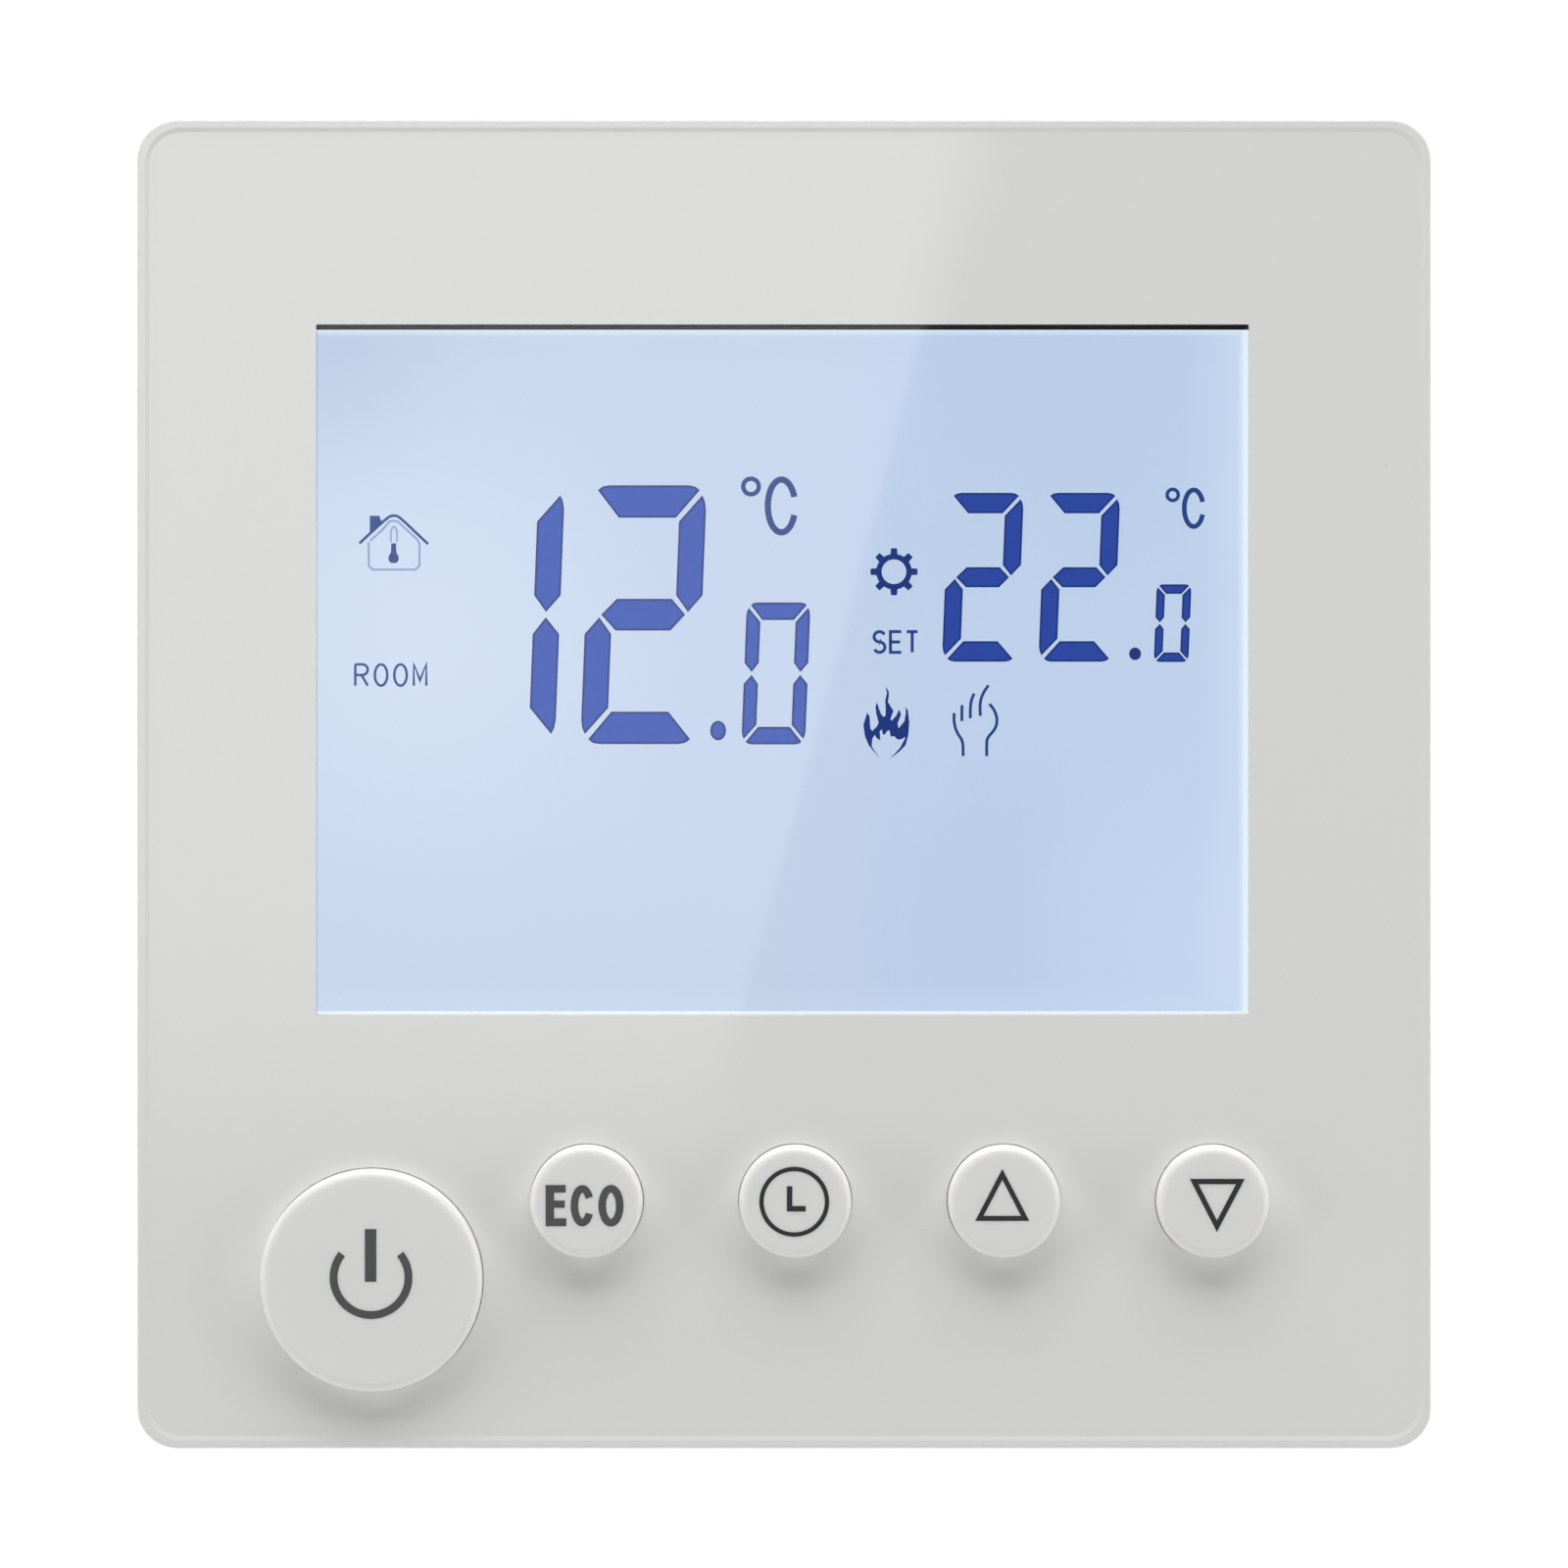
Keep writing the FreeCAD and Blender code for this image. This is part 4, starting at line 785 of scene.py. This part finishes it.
def glowing(name, strength, fade=None):
    """A white light-emitting surface; fade is (low z, high z) over which it rises from nothing."""
    material = bpy.data.materials.new(name)
    material.use_nodes = True
    tree = material.node_tree
    tree.nodes.clear()
    out = tree.nodes.new("ShaderNodeOutputMaterial")
    shine = tree.nodes.new("ShaderNodeEmission")
    shine.inputs[0].default_value = (1, 1, 1, 1)
    shine.inputs[1].default_value = strength
    tree.links.new(shine.outputs[0], out.inputs[0])
    if fade:
        place = tree.nodes.new("ShaderNodeTexCoord")
        axes = tree.nodes.new("ShaderNodeSeparateXYZ")
        ramp = tree.nodes.new("ShaderNodeMapRange")
        ramp.interpolation_type = "SMOOTHSTEP"
        ramp.inputs["From Min"].default_value = fade[0]
        ramp.inputs["From Max"].default_value = fade[1]
        ramp.inputs["To Max"].default_value = strength
        tree.links.new(place.outputs["Object"], axes.inputs[0])
        tree.links.new(axes.outputs[2], ramp.inputs["Value"])
        tree.links.new(ramp.outputs[0], shine.inputs[1])
    return material


def soft_light(name, location, size, power):
    """A rectangular lamp that faces the origin."""
    data = bpy.data.lights.new(name, "AREA")
    data.shape = "RECTANGLE"
    data.size, data.size_y = size
    data.energy = power
    lamp = bpy.data.objects.new(name, data)
    lamp.location = location
    lamp.rotation_euler = (Vector((0, 0, 0)) - Vector(location)).to_track_quat("-Z", "Y").to_euler()
    bpy.context.scene.collection.objects.link(lamp)
    return lamp


def floor_material():
    """Pale floor, far larger than the lamps reach. The part that the camera sees directly glows,
    and brightens towards the backdrop, like the sweep of a studio cove."""
    s = Shader("pale_floor")
    s.link(s.mix(s.noise(0.05), (0.82, 0.82, 0.82), (0.86, 0.86, 0.86)),
           s.principled.inputs["Base Color"])
    s.set(Roughness=0.6)
    glow = s.node("ShaderNodeEmission")
    axes = s.node("ShaderNodeSeparateXYZ")
    s.link(s.place, axes.inputs[0])
    s.link(s.span(axes.outputs[1], *FLOOR_GLOW_DEPTHS, *FLOOR_GLOW_STRENGTHS, smooth=True),
           glow.inputs[1])
    seen = s.node("ShaderNodeLightPath")
    both = s.node("ShaderNodeMixShader")
    s.link(s.math("MULTIPLY", seen.outputs["Is Camera Ray"], FLOOR_GLOW_SHARE), both.inputs[0])
    s.link(s.principled.outputs[0], both.inputs[1])
    s.link(glow.outputs[0], both.inputs[2])
    s.link(both.outputs[0], s.out.inputs["Surface"])
    return s.material


stage_sheet("floor", [(-HALF_ROOM, -HALF_ROOM, FLOOR_Z), (HALF_ROOM, -HALF_ROOM, FLOOR_Z),
                      (HALF_ROOM, WALL_Y, FLOOR_Z), (-HALF_ROOM, WALL_Y, FLOOR_Z)], floor_material())
stage_sheet("backdrop", [(-HALF_ROOM, WALL_Y, FLOOR_Z), (HALF_ROOM, WALL_Y, FLOOR_Z),
                         (HALF_ROOM, WALL_Y, WALL_TOP), (-HALF_ROOM, WALL_Y, WALL_TOP)],
            glowing("backdrop", BACKDROP_GLOW))

front_low, front_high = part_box("front_shell")
centre_x = (front_low.x + front_high.x) / 2
centre_z = (front_low.z + front_high.z) / 2


def card_point(x, z):
    """Where the camera sees (x, z) of the front mirrored, on the card behind the camera."""
    card_y = front_low.y - DISTANCE * (CARD_SCALE - 1)
    return (centre_x + x * MM * CARD_SCALE, card_y, centre_z + z * MM * CARD_SCALE)


stage_sheet("reflection_card", [card_point(x, z) for x, z in CARD_CORNERS],
            glowing("reflection_card", CARD_GLOW, [card_point(0, z)[2] for z in CARD_FADE]))

soft_light("key", (0.0, -0.36, 0.90), size=(1.5, 0.75), power=12.7)
soft_light("side_left", (-1.1, -0.25, 0.05), size=(0.6, 1.0), power=4.1)
soft_light("side_right", (1.1, -0.25, 0.05), size=(0.6, 1.0), power=4.1)
soft_light("low", (0.0, -0.25, -0.50), size=(1.2, 0.5), power=0.62)


def studio_world():
    """Dim bluish light on the object, and plain grey where the camera looks past the studio."""
    world = bpy.data.worlds.new("studio")
    world.use_nodes = True
    sky = world.node_tree
    dim = sky.nodes["Background"]
    dim.inputs[0].default_value = (0.95, 0.97, 1.0, 1)
    dim.inputs[1].default_value = 0.04
    pale = sky.nodes.new("ShaderNodeBackground")
    pale.inputs[0].default_value = (0.64, 0.64, 0.64, 1)
    seen = sky.nodes.new("ShaderNodeLightPath")
    both = sky.nodes.new("ShaderNodeMixShader")
    sky.links.new(seen.outputs["Is Camera Ray"], both.inputs[0])
    sky.links.new(dim.outputs[0], both.inputs[1])
    sky.links.new(pale.outputs[0], both.inputs[2])
    sky.links.new(both.outputs[0], sky.nodes["World Output"].inputs[0])
    return world


bpy.context.scene.world = studio_world()

camera_data = bpy.data.cameras.new("camera")
camera = bpy.data.objects.new("camera", camera_data)
bpy.context.scene.collection.objects.link(camera)
bpy.context.scene.camera = camera
camera_data.sensor_width = SENSOR
camera_data.lens = SENSOR * DISTANCE / FRAME_WIDTH
camera_data.clip_start = 0.05
camera.location = (centre_x, front_low.y - DISTANCE, centre_z)
camera.rotation_euler = (math.pi / 2, 0, 0)

bpy.context.scene.view_settings.view_transform = "Standard"
bpy.context.scene.view_settings.look = "None"
